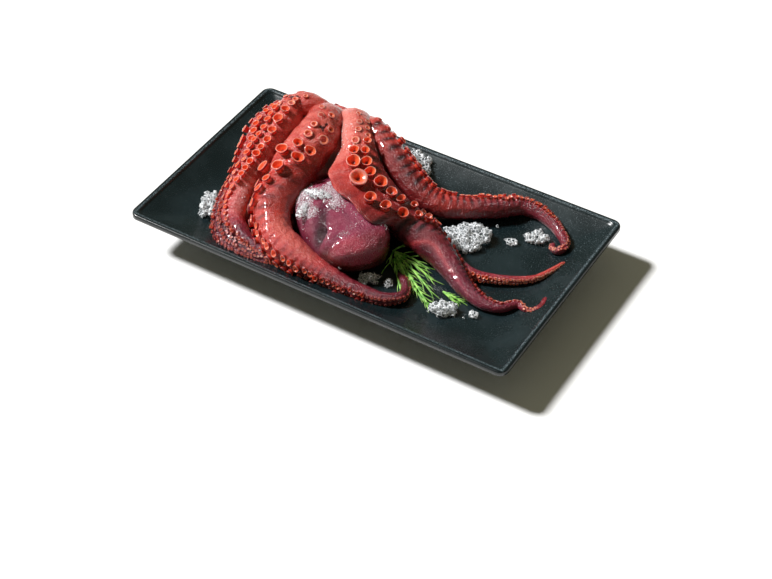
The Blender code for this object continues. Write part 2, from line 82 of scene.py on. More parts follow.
def ease(value: Any) -> np.ndarray:
    """Return a smooth step from 0 to 1 of a value that is clipped to that range."""
    value = np.clip(value, 0.0, 1.0)
    return value * value * (3.0 - 2.0 * value)


def follow(knots: Knots, at: Any) -> np.ndarray:
    """Read a straight-line graph.

    Args:
        knots: pairs of place and value.
        at: the places to read.

    Returns:
        The values there.
    """
    table = np.asarray(knots, dtype=float)
    return np.interp(at, table[:, 0], table[:, 1])


def smooth_path(knots: Any, step: float, soften: float = 0.0) -> np.ndarray:
    """Read a smooth curve through knots at even steps of its length.

    Args:
        knots: rows whose first three numbers are a position.
        step: distance between the rows that are returned.
        soften: how far the rows are blended along the curve.

    Returns:
        Rows with as many numbers as the knots have.
    """
    knots = np.asarray(knots, dtype=float)
    spans = np.linalg.norm(np.diff(knots[:, :3], axis=0), axis=1)
    place = np.concatenate(([0.0], np.cumsum(spans)))
    slopes = np.gradient(knots, place, axis=0)
    count = max(3, int(round(place[-1] / step)) + 1)
    at = np.linspace(0.0, place[-1], count)
    cell = np.clip(np.searchsorted(place, at, side="right") - 1, 0, len(spans) - 1)
    length = spans[cell][:, None]
    t = ((at - place[cell]) / spans[cell])[:, None]
    rows = ((2 * t**3 - 3 * t**2 + 1) * knots[cell] + (t**3 - 2 * t**2 + t) * slopes[cell] * length
            + (3 * t**2 - 2 * t**3) * knots[cell + 1] + (t**3 - t**2) * slopes[cell + 1] * length)
    if soften <= 0.0:
        return rows
    reach = int(3 * soften / step)
    weights = np.exp(-0.5 * (np.arange(-reach, reach + 1) * step / soften) ** 2)
    weights /= weights.sum()
    ends = 2 * rows[:1] - rows[reach:0:-1], 2 * rows[-1:] - rows[-2:-reach - 2:-1]
    padded = np.concatenate([ends[0], rows, ends[1]])
    return np.column_stack([np.convolve(column, weights, "valid") for column in padded.T])


def lattice_noise(points: np.ndarray, grain: float, seed: int) -> np.ndarray:
    """Return smooth random values from -1 to 1.

    Args:
        points: positions, three numbers in the last axis.
        grain: size of the noise's features.
        seed: which noise.

    Returns:
        One value for each position.
    """
    scaled = np.asarray(points) / grain + seed * 17.31
    cell = np.floor(scaled).astype(np.int64)
    part = scaled - cell
    part = part * part * (3.0 - 2.0 * part)
    total = np.zeros(scaled.shape[:-1])
    for corner in np.ndindex(2, 2, 2):
        at = cell + np.array(corner)
        mixed = at[..., 0] * 374761393 + at[..., 1] * 668265263 + at[..., 2] * 2147483647 + seed * 97
        mixed = (mixed ^ (mixed >> 13)) * 1274126177
        value = ((mixed ^ (mixed >> 16)) & 0xFFFF) / 32767.5 - 1.0
        share = np.where(np.array(corner) == 1, part, 1.0 - part).prod(axis=-1)
        total += value * share
    return total


def grid_faces(rows: int, columns: int) -> np.ndarray:
    """Return the quads of a tube of rings, each closed on itself."""
    ring = np.arange(columns)
    after = np.roll(ring, -1)
    start = (np.arange(rows - 1) * columns)[:, None]
    quads = np.stack([start + ring, start + after, start + columns + after, start + columns + ring], -1)
    return quads.reshape(-1, 4)


@dataclass
class Shape:
    """A mesh in the making: its points, its faces and one number for each point and name."""

    points: np.ndarray
    faces: list[tuple[int, ...]]
    marks: dict[str, np.ndarray] = field(default_factory=dict)

    @classmethod
    def tube(cls, rings: np.ndarray, marks: dict[str, np.ndarray] | None = None) -> "Shape":
        """Close a stack of rings with a pole at each end.

        Args:
            rings: positions as (ring, side, 3).
            marks: numbers for the same (ring, side) places.

        Returns:
            The closed shape.
        """
        rows, columns, _ = rings.shape
        flat = rings.reshape(-1, 3)
        points = np.concatenate([flat, rings[:1].mean(axis=1), rings[-1:].mean(axis=1)])
        faces = [tuple(quad) for quad in grid_faces(rows, columns).tolist()]
        last = (rows - 1) * columns
        for side in range(columns):
            after = (side + 1) % columns
            faces.append((len(flat), after, side))
            faces.append((len(flat) + 1, last + side, last + after))
        extra = {}
        for name, value in (marks or {}).items():
            value = np.broadcast_to(value, (rows, columns))
            extra[name] = np.concatenate([value.ravel(), value[:1].mean(axis=1), value[-1:].mean(axis=1)])
        return cls(points, faces, extra)

    @classmethod
    def joined(cls, shapes: Iterable["Shape"]) -> "Shape":
        """Put shapes side by side in one."""
        shapes = list(shapes)
        faces: list[tuple[int, ...]] = []
        offset = 0
        for shape in shapes:
            faces += [tuple(corner + offset for corner in face) for face in shape.faces]
            offset += len(shape.points)
        names = set.intersection(*(set(shape.marks) for shape in shapes))
        marks = {name: np.concatenate([shape.marks[name] for shape in shapes]) for name in names}
        return cls(np.concatenate([shape.points for shape in shapes]), faces, marks)


def make_mesh(name: str, shape: Shape) -> bpy.types.Mesh:
    """Return a smooth mesh in metres with the shape's marks as attributes."""
    mesh = bpy.data.meshes.new(name)
    mesh.from_pydata((shape.points * METRE).tolist(), [], shape.faces)
    for mark, values in shape.marks.items():
        attribute = mesh.attributes.new(mark, "FLOAT", "POINT")
        attribute.data.foreach_set("value", np.asarray(values, dtype=np.float32))
    mesh.update()
    mesh.shade_smooth()
    return mesh


def make_piece(name: str, shape: Shape, material: bpy.types.Material) -> bpy.types.Object:
    """Return a linked object of the shape in one material."""
    obj = bpy.data.objects.new(name, make_mesh(name, shape))
    bpy.context.scene.collection.objects.link(obj)
    obj.data.materials.append(material)
    return obj


def hand_over(piece: bpy.types.Object, slot: str, nodes: Sequence[str]) -> None:
    """Put a finished piece on the body, hide the solids that it replaces, and log it.

    Args:
        piece: the finished object.
        slot: the record's material slot, which is only written to the log.
        nodes: the solids that it replaces.
    """
    piece.data.transform(Matrix.Translation((0.0, 0.0, FOOT_DROP * METRE)))
    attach(piece, BODY)
    if nodes:
        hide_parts(*nodes)
    triangles = sum(len(face.vertices) - 2 for face in piece.data.polygons)
    log.info("%s: %d triangles, finish %s", piece.name, triangles, slot)


# ---------------------------------------------------------------- node trees

@dataclass(frozen=True)
class Link:
    """A node's output that takes part in sums; each sum adds a Math node."""

    tree: "NodeTree"
    socket: bpy.types.NodeSocket

    def _sum(self, operation: str, first: Any, second: Any = 0.0, third: Any = 0.0) -> "Link":
        """Add a Math node of that operation and return its output."""
        kind = "ShaderNodeMath"
        return self.tree.add(kind, {"operation": operation}, {0: first, 1: second, 2: third})

    def __add__(self, other: Any) -> "Link":
        """Return self + other."""
        return self._sum("ADD", self, other)

    def __radd__(self, other: Any) -> "Link":
        """Return other + self."""
        return self._sum("ADD", other, self)

    def __sub__(self, other: Any) -> "Link":
        """Return self - other."""
        return self._sum("SUBTRACT", self, other)

    def __rsub__(self, other: Any) -> "Link":
        """Return other - self."""
        return self._sum("SUBTRACT", other, self)

    def __mul__(self, other: Any) -> "Link":
        """Return self * other."""
        return self._sum("MULTIPLY", self, other)

    def __rmul__(self, other: Any) -> "Link":
        """Return other * self."""
        return self._sum("MULTIPLY", other, self)

    def __pow__(self, other: Any) -> "Link":
        """Return self to the power of other."""
        return self._sum("POWER", self, other)

    def __abs__(self) -> "Link":
        """Return self without its sign."""
        return self._sum("ABSOLUTE", self)

    def least(self, other: Any) -> "Link":
        """Return the smaller of self and other."""
        return self._sum("MINIMUM", self, other)

    def between(self, low: float, high: float) -> "Link":
        """Return 0 below low, 1 above high and a smooth step between; low may be the larger."""
        settings = {"interpolation_type": "SMOOTHSTEP"}
        if low > high:
            return 1.0 - self.between(high, low)
        return self.tree.add("ShaderNodeMapRange", settings, {0: self, 1: low, 2: high})


class NodeTree:
    """A shader or geometry tree that is built by calls."""

    def __init__(self, nodes: bpy.types.NodeTree) -> None:
        """Start on an empty tree."""
        self.tree = nodes
        self.tree.nodes.clear()

    def add(self, kind: str, settings: dict[str, Any] | None = None,
            sockets: dict[Any, Any] | None = None, output: Any = 0) -> Link:
        """Add one node.

        Args:
            kind: the node's type.
            settings: its properties, set first; "stops" are a ramp's (place, colour) pairs.
            sockets: values or links of its inputs, by name or number.
            output: which output to return.

        Returns:
            That output.
        """
        node = self.tree.nodes.new(kind)
        for name, value in (settings or {}).items():
            if name == "stops":
                self._set_stops(node.color_ramp, value)
            else:
                setattr(node, name, value)
        for key, value in (sockets or {}).items():
            self._feed(node.inputs[key], value)
        return Link(self, node.outputs[output]) if len(node.outputs) else Link(self, None)

    def _feed(self, socket: bpy.types.NodeSocket, value: Any) -> None:
        """Link or set one input."""
        for item in value if isinstance(value, list) else [value]:
            if isinstance(item, Link):
                self.tree.links.new(item.socket, socket)
            elif socket.type == "RGBA" and len(item) == 3:
                socket.default_value = (*item, 1.0)
            else:
                socket.default_value = item

    @staticmethod
    def _set_stops(ramp: bpy.types.ColorRamp, stops: Sequence[tuple[float, Colour]]) -> None:
        """Fill a colour ramp."""
        while len(ramp.elements) < len(stops):
            ramp.elements.new(0.5)
        for element, (place, colour) in zip(ramp.elements, stops):
            element.position = place
            element.color = (*colour, 1.0)

    def mix(self, factor: Any, first: Any, second: Any, blend: str = "MIX") -> Link:
        """Return a colour between two, by the factor."""
        settings = {"data_type": "RGBA", "blend_type": blend}
        return self.add("ShaderNodeMix", settings, {0: factor, 6: first, 7: second}, output=2)

    def attribute(self, name: str) -> Link:
        """Return a number that the mesh carries."""
        return self.add("ShaderNodeAttribute", {"attribute_name": name}, output="Fac")

    def noise(self, grain: float, detail: float = 2.0, roughness: float = 0.5, twist: float = 0.0) -> Link:
        """Return noise on object coordinates with features of about grain millimetres."""
        where = self.add("ShaderNodeTexCoord", output="Object")
        sockets = {"Vector": where, "Scale": 1.0 / (grain * METRE), "Detail": detail,
                   "Roughness": roughness, "Distortion": twist}
        return self.add("ShaderNodeTexNoise", {}, sockets)

    def cells(self, grain: float, feature: str = "F1", output: str = "Distance") -> Link:
        """Return a cell pattern with cells of about grain millimetres."""
        where = self.add("ShaderNodeTexCoord", output="Object")
        sockets = {"Vector": where, "Scale": 1.0 / (grain * METRE)}
        return self.add("ShaderNodeTexVoronoi", {"feature": feature}, sockets, output=output)

    def bump(self, height: Any, strength: float, depth: float) -> Link:
        """Return a normal that is tilted by a height; depth is in millimetres."""
        sockets = {"Height": height, "Strength": strength, "Distance": depth * METRE}
        return self.add("ShaderNodeBump", {}, sockets)

    def surface(self, shader: Link) -> None:
        """Send a shader to the surface."""
        self.add("ShaderNodeOutputMaterial", {}, {"Surface": shader})


def new_material(name: str) -> tuple[bpy.types.Material, NodeTree]:
    """Return a material and its empty tree."""
    material = bpy.data.materials.new(name)
    material.use_nodes = True
    return material, NodeTree(material.node_tree)


# ---------------------------------------------------------------- finishes

@dataclass(frozen=True)
class SkinFinish:
    """Cooked octopus skin, from dark maroon through coral to pale salmon, with plum patches.

    The meshes carry tone (0 dark, 1 pale), plum, crease and cover, each a number from 0 to 1.
    crease is painted shade: it darkens the skin in creases and folds. The pale flecks are painted glints.
    """

    tones: Sequence[tuple[float, Colour]] = (
        (0.00, (0.014, 0.002, 0.003)), (0.22, (0.060, 0.006, 0.008)), (0.45, (0.230, 0.014, 0.013)),
        (0.62, (0.500, 0.036, 0.025)), (0.80, (0.660, 0.140, 0.105)), (1.00, (0.780, 0.370, 0.320)),
    )
    plum_dark: Colour = (0.060, 0.010, 0.022)
    plum_light: Colour = (0.460, 0.045, 0.140)
    # Colour of the pale flecks that are painted on as glints.
    glint_fleck: Colour = (0.850, 0.640, 0.620)
    rime: Colour = (0.830, 0.800, 0.840)
    roughness: float = 0.22
    coat: float = 0.40
    coat_roughness: float = 0.07
    subsurface: float = 0.12
    scatter: Colour = (0.006, 0.0022, 0.0016)

    def build(self, name: str, patchy: float = 0.10, grain: float = 1.0) -> bpy.types.Material:
        """Return the skin's material.

        Args:
            name: the material's name.
            patchy: how far the tone wanders.
            grain: strength of the fine relief.

        Returns:
            The material.
        """
        material, tree = new_material(name)
        wander = (tree.noise(11.0, 3.0) - 0.5) * (2.0 * patchy) + (tree.noise(2.6, 3.0, 0.6) - 0.5) * patchy
        # Painted shade: the tone drops where crease marks creases and folds.
        crease = tree.attribute("crease")
        tone = tree.attribute("tone") + wander - crease * 0.42
        colour = tree.add("ShaderNodeValToRGB", {"stops": self.tones}, {0: tone})
        plum = tree.mix(tone, self.plum_dark, self.plum_light)
        colour = tree.mix(tree.attribute("plum"), colour, plum)
        # Painted glints: pale flecks mixed into the colour, most of them on the paler skin.
        grit = tree.noise(0.75, 2.0, 0.75)
        glint_specks = grit.between(0.60, 0.70) * tone.between(0.22, 0.8) * 0.6
        colour = tree.mix(glint_specks, colour, self.glint_fleck)
        cover = tree.attribute("cover")
        frost = (tree.noise(1.1, 3.0, 0.8) + cover * 0.15).between(0.60, 0.66) * cover.between(0.0, 0.5)
        colour = tree.mix(frost * 0.65, colour, self.rime)
        pores = tree.cells(1.4)
        fine = tree.noise(0.5, 3.0, 0.65)
        wrinkle = tree.noise(3.4, 5.0, 0.68, 0.8)
        height = wrinkle * 1.5 + fine * 0.6 + pores * 0.9 + frost * 0.6
        rough = (self.roughness - 0.08) + tree.noise(5.0, 2.0) * 0.14 + frost * 0.2
        tree.surface(tree.add("ShaderNodeBsdfPrincipled", {}, {
            "Base Color": colour, "Roughness": rough, "IOR": 1.48,
            "Subsurface Weight": self.subsurface, "Subsurface Radius": self.scatter,
            "Subsurface Scale": 1.0, "Coat Weight": self.coat, "Coat Roughness": self.coat_roughness,
            "Normal": tree.bump(height, 0.75 * grain, 0.80),
        }))
        return material


@dataclass(frozen=True)
class CupFinish:
    """A sucker: red wall, a painted shadow line under a pale lip, glossy orange-red funnel, a hole painted dark as
    shade.

    The meshes carry zone (0 wall, 1 lip, 2 funnel, 3 hole) and tone.
    """

    # Ramp by zone: red wall; painted shadow line under the lip (0.225 to 0.275); pale lip (0.305 to 0.340), its own
    # paler colour with a painted highlight; orange-red funnel; painted shade deepening into the hole (0.86 to 1.0).
    stops: Sequence[tuple[float, Colour]] = (
        (0.00, (0.560, 0.040, 0.020)), (0.16, (0.560, 0.048, 0.024)), (0.225, (0.150, 0.012, 0.024)),
        (0.275, (0.180, 0.016, 0.030)), (0.305, (0.620, 0.130, 0.110)), (0.340, (0.800, 0.310, 0.260)),
        (0.375, (0.850, 0.135, 0.050)), (0.700, (0.850, 0.095, 0.024)), (0.860, (0.640, 0.045, 0.014)),
        (1.000, (0.200, 0.014, 0.008)),
    )
    shade: Colour = (0.40, 0.26, 0.32)
    pale: Colour = (0.84, 0.36, 0.26)
    roughness: float = 0.24

    def build(self, name: str) -> bpy.types.Material:
        """Return the suckers' material."""
        material, tree = new_material(name)
        zone = tree.attribute("zone") * (1.0 / 3.0) + (tree.noise(1.1, 2.0) - 0.5) * 0.05
        colour = tree.add("ShaderNodeValToRGB", {"stops": self.stops}, {0: zone})
        dim = tree.mix(1.0, colour, self.shade, "MULTIPLY")
        tone = tree.attribute("tone") + (tree.noise(6.0, 2.0) - 0.5) * 0.3
        colour = tree.mix(tone.between(0.62, 0.20), colour, dim)
        colour = tree.mix(tone.between(0.66, 1.0) * 0.5, colour, self.pale)
        tree.surface(tree.add("ShaderNodeBsdfPrincipled", {}, {
            "Base Color": colour, "Roughness": self.roughness + tree.noise(1.5) * 0.1, "IOR": 1.40,
            "Subsurface Weight": 0.60, "Subsurface Radius": (0.0060, 0.0018, 0.0008),
            "Subsurface Scale": 1.0, "Coat Weight": 0.8, "Coat Roughness": 0.06,
            "Normal": tree.bump(tree.noise(0.9, 2.0), 0.35, 0.3),
        }))
        return material


@dataclass(frozen=True)
class GlazeFinish:
    """Dark slate stoneware with a satin glaze and fine pale specks."""

    base: Colour = (0.0040, 0.0105, 0.0125)
    cloud: Colour = (0.0085, 0.0175, 0.0205)
    speck: Colour = (0.240, 0.300, 0.330)
    # Painted shade: the rim band is darker than the glaze.
    rim_shade: Colour = (0.0025, 0.0055, 0.0070)
    half: tuple[float, float] = (0.200, 0.115)

    def build(self, name: str) -> bpy.types.Material:
        """Return the glaze's material."""
        material, tree = new_material(name)
        cloud = tree.noise(38.0, 4.0, 0.55)
        colour = tree.mix(cloud.between(0.35, 0.7), self.base, self.cloud)
        grit = tree.noise(1.0, 3.0, 0.75)
        where = tree.add("ShaderNodeTexCoord", output="Object")
        x, y = (tree.add("ShaderNodeSeparateXYZ", {}, {0: where}, output=axis) for axis in "XY")
        back = (y + x * 0.3).between(-0.06, 0.08)
        colour = tree.mix(grit.between(0.60, 0.70) * (cloud.between(0.35, 0.62) * 0.22 + back * 0.5), colour, self.speck)
        # Near the edge: the outer 2 to 3.4 mm are painted darker as shade on the rim, and a thin line of pale specks
        # about 4 mm in is a painted highlight along the rim.
        inset = (self.half[0] - abs(x)).least(self.half[1] - abs(y))
        line = inset.between(0.0022, 0.0034) * inset.between(0.0056, 0.0042)
        colour = tree.mix(inset.between(0.0034, 0.0020) * 0.75, colour, self.rim_shade)
        colour = tree.mix(line * grit.between(0.46, 0.62) * 0.7, colour, self.speck)
        pits = tree.noise(0.8, 3.0, 0.7)
        rough = 0.20 + cloud * 0.14 + grit.between(0.55, 0.7) * 0.15
        tree.surface(tree.add("ShaderNodeBsdfPrincipled", {}, {
            "Base Color": colour, "Roughness": rough, "IOR": 1.5,
            "Normal": tree.bump(pits + tree.noise(6.0, 2.0) * 0.8, 0.25, 0.18),
        }))
        return material


@dataclass(frozen=True)
class IceFinish:
    """Wet crushed ice: clear grains, some of them frosted white, with a white net painted along their edges as
    highlights.
    """

    clear: Colour = (0.50, 0.58, 0.62)
    # White of the frost, and of the painted highlights along the grain edges.
    frosted: Colour = (0.97, 0.98, 1.00)
    roughness: float = 0.12
    haze: float = 0.04

    def build(self, name: str, frost: float = 0.15) -> bpy.types.Material:
        """Return the ice's material; frost is the share of white."""
        material, tree = new_material(name)
        bump = tree.bump(tree.noise(1.4, 2.0, 0.5), 0.5, 0.5)
        # Painted highlight: a white net along the cell edges stands for the bright edges of the clear grains.
        edge_glints = tree.cells(3.3, "DISTANCE_TO_EDGE").between(0.12, 0.05)
        patches = tree.noise(1.3, 3.0, 0.7).between(0.72 - frost * 0.3, 0.80 - frost * 0.3)
        white = edge_glints * 0.9 + patches
        tree.surface(tree.add("ShaderNodeBsdfPrincipled", {}, {
            "Base Color": tree.mix(white, self.clear, self.frosted), "Roughness": self.roughness, "IOR": 1.31,
            "Alpha": white * (1.0 - self.haze) + self.haze, "Coat Weight": 0.8, "Coat Roughness": 0.05,
            "Normal": bump}))
        return material


@dataclass(frozen=True)
class DillFinish:
    """Fresh dill: bright green threads, yellower towards their tips."""

    deep: Colour = (0.110, 0.340, 0.035)
    bright: Colour = (0.360, 0.680, 0.130)
    tip: Colour = (0.640, 0.780, 0.340)

    def build(self, name: str) -> bpy.types.Material:
        """Return the dill's material."""
        material, tree = new_material(name)
        reach = tree.attribute("reach")
        colour = tree.mix(tree.noise(5.0, 2.0).between(0.35, 0.65), self.deep, self.bright)
        colour = tree.mix(reach.between(0.55, 1.0) * 0.6, colour, self.tip)
        colour = tree.mix(reach.between(-0.5, -1.0), colour, (0.70, 0.74, 0.42))
        tree.surface(tree.add("ShaderNodeBsdfPrincipled", {}, {
            "Base Color": colour, "Roughness": 0.42 + tree.noise(2.0) * 0.1, "IOR": 1.45,
            "Subsurface Weight": 0.1, "Subsurface Radius": (0.001, 0.002, 0.0005),
            "Normal": tree.bump(tree.noise(0.5), 0.2, 0.1),
        }))
        return material


# ---------------------------------------------------------------- geometry nodes

class SocketKind(Enum):
    """Kinds of input that a geometry tree may have."""

    MESH = "NodeSocketGeometry"
    NUMBER = "NodeSocketFloat"
    COUNT = "NodeSocketInt"
    PARTS = "NodeSocketCollection"
    FINISH = "NodeSocketMaterial"


class GeometryTree(NodeTree):
    """A Geometry Nodes tree with named inputs, which is run once and leaves a plain mesh."""

    def __init__(self, name: str, inputs: dict[str, SocketKind]) -> None:
        """Start a tree with the inputs after its geometry."""
        group = bpy.data.node_groups.new(name, "GeometryNodeTree")
        super().__init__(group)
        self.group = group
        group.interface.new_socket("Geometry", in_out="INPUT", socket_type=SocketKind.MESH.value)
        for label, kind in inputs.items():
            group.interface.new_socket(label, in_out="INPUT", socket_type=kind.value)
        group.interface.new_socket("Geometry", in_out="OUTPUT", socket_type=SocketKind.MESH.value)
        self._entry = group.nodes.new("NodeGroupInput")

    def given(self, label: str) -> Link:
        """Return one of the tree's own inputs."""
        return Link(self, self._entry.outputs[label])

    def field(self, name: str, kind: str = "FLOAT") -> Link:
        """Return an attribute of the geometry by its name."""
        return self.add("GeometryNodeInputNamedAttribute", {"data_type": kind}, {"Name": name})

    def random(self, low: Any, high: Any, seed: int, kind: str = "FLOAT") -> Link:
        """Return a random value for each element, with a fixed seed."""
        first = {"FLOAT": 2, "FLOAT_VECTOR": 0, "INT": 4}[kind]
        out = {"FLOAT": 1, "FLOAT_VECTOR": 0, "INT": 2}[kind]
        sockets = {first: low, first + 1: high, "Seed": seed}
        return self.add("FunctionNodeRandomValue", {"data_type": kind}, sockets, output=out)

    def finish(self, geometry: Link) -> None:
        """Realize the geometry, set its finish and send it to the output."""
        real = self.add("GeometryNodeRealizeInstances", {}, {0: geometry})
        shaded = self.add("GeometryNodeSetShadeSmooth", {}, {"Geometry": real})
        done = self.add("GeometryNodeSetMaterial", {}, {"Geometry": shaded, "Material": self.given("Finish")})
        self.add("NodeGroupOutput", {}, {0: done})

    def run(self, name: str, mesh: bpy.types.Mesh, values: dict[str, Any]) -> bpy.types.Object:
        """Run the tree on a mesh.

        Args:
            name: name of the piece that is made.
            mesh: the geometry that goes in.
            values: values of the tree's inputs, by their names.

        Returns:
            A linked object with a plain mesh and no modifier.
        """
        holder = bpy.data.objects.new(name + "_seed", mesh)
        bpy.context.scene.collection.objects.link(holder)
        modifier = holder.modifiers.new("make", "NODES")
        modifier.node_group = self.group
        for item in self.group.interface.items_tree:
            if item.in_out == "INPUT" and item.name in values:
                modifier[item.identifier] = values[item.name]
        graph = bpy.context.evaluated_depsgraph_get()
        made = bpy.data.meshes.new_from_object(holder.evaluated_get(graph))
        bpy.data.objects.remove(holder, do_unlink=True)
        made.name = name
        piece = bpy.data.objects.new(name, made)
        bpy.context.scene.collection.objects.link(piece)
        if not made.materials:
            made.materials.append(values["Finish"])
        return piece


def parts_collection(name: str, shapes: Sequence[Shape]) -> bpy.types.Collection:
    """Return a collection of small meshes, in order, for a tree to place."""
    group = bpy.data.collections.new(name)
    for number, shape in enumerate(shapes):
        part = bpy.data.objects.new(f"{name}_{number:02d}", make_mesh(f"{name}_{number:02d}", shape))
        group.objects.link(part)
    return group


def drop_parts(group: bpy.types.Collection) -> None:
    """Remove a collection of small meshes once the trees have used it."""
    for part in list(group.objects):
        bpy.data.objects.remove(part, do_unlink=True)
    bpy.data.collections.remove(group)


def placing_tree() -> GeometryTree:
    """Return the tree that puts a chosen part on each point, turned and sized by the point."""
    tree = GeometryTree("place_parts", {"Parts": SocketKind.PARTS, "Finish": SocketKind.FINISH})
    parts = tree.add("GeometryNodeCollectionInfo", {"transform_space": "RELATIVE"},
                     {"Collection": tree.given("Parts"), "Separate Children": True, "Reset Children": True})
    points = tree.add("GeometryNodeMeshToPoints", {}, {"Mesh": tree.given("Geometry")})
    turn = tree.add("FunctionNodeEulerToRotation", {}, {0: tree.field("turn", "FLOAT_VECTOR")})
    placed = tree.add("GeometryNodeInstanceOnPoints", {}, {
        "Points": points, "Instance": parts, "Pick Instance": True,
        "Instance Index": tree.field("kind", "INT"), "Rotation": turn,
        "Scale": tree.field("size", "FLOAT_VECTOR")})
    tree.finish(placed)
    return tree


def sprinkling_tree() -> GeometryTree:
    """Return the tree that strews parts over a surface where its cover attribute says."""
    tree = GeometryTree("sprinkle_parts", {
        "Parts": SocketKind.PARTS, "Each Square Metre": SocketKind.NUMBER, "Smallest": SocketKind.NUMBER,
        "Largest": SocketKind.NUMBER, "Seed": SocketKind.COUNT, "Finish": SocketKind.FINISH})
    parts = tree.add("GeometryNodeCollectionInfo", {"transform_space": "RELATIVE"},
                     {"Collection": tree.given("Parts"), "Separate Children": True, "Reset Children": True})
    amount = tree.field("cover") * tree.given("Each Square Metre")
    points = tree.add("GeometryNodeDistributePointsOnFaces", {"distribute_method": "RANDOM"}, {
        "Mesh": tree.given("Geometry"), "Density": amount, "Seed": tree.given("Seed")})
    turn = tree.random((0.0, 0.0, 0.0), (math.tau, math.tau, math.tau), 5, "FLOAT_VECTOR")
    size = tree.random(0.0, 1.0, 7) ** 1.6 * (tree.given("Largest") - tree.given("Smallest"))
    placed = tree.add("GeometryNodeInstanceOnPoints", {}, {
        "Points": points, "Instance": parts, "Pick Instance": True,
        "Instance Index": tree.random(0, 5, 9, "INT"), "Rotation": turn,
        "Scale": size + tree.given("Smallest")})
    tree.finish(placed)
    return tree


def euler_rows(x_axis: np.ndarray, z_axis: np.ndarray) -> np.ndarray:
    """Return Euler angles that turn X and Z onto the given unit vectors, row by row."""
    y_axis = np.cross(z_axis, x_axis)
    pitch = -np.arcsin(np.clip(x_axis[:, 2], -1.0, 1.0))
    roll = np.arctan2(y_axis[:, 2], z_axis[:, 2])
    yaw = np.arctan2(x_axis[:, 1], x_axis[:, 0])
    return np.column_stack([roll, pitch, yaw])


def seed_points(name: str, places: np.ndarray, turns: np.ndarray, sizes: np.ndarray,
                kinds: np.ndarray, marks: dict[str, np.ndarray] | None = None) -> bpy.types.Mesh:
    """Return a mesh of loose points that tell the placing tree what goes where.

    Args:
        name: the mesh's name.
        places: positions in millimetres.
        turns: Euler angles.
        sizes: scale along the part's three axes.
        kinds: which part each point takes.
        marks: further numbers that the parts carry.

    Returns:
        The mesh, in metres.
    """
    mesh = bpy.data.meshes.new(name)
    mesh.from_pydata((np.asarray(places) * METRE).tolist(), [], [])
    for label, rows in (("turn", turns), ("size", sizes)):
        attribute = mesh.attributes.new(label, "FLOAT_VECTOR", "POINT")
        attribute.data.foreach_set("vector", np.asarray(rows, dtype=np.float32).ravel())
    kind = mesh.attributes.new("kind", "INT", "POINT")
    kind.data.foreach_set("value", np.asarray(kinds, dtype=np.int32))
    for label, values in (marks or {}).items():
        attribute = mesh.attributes.new(label, "FLOAT", "POINT")
        attribute.data.foreach_set("value", np.asarray(values, dtype=np.float32))
    return mesh


# ---------------------------------------------------------------- platter

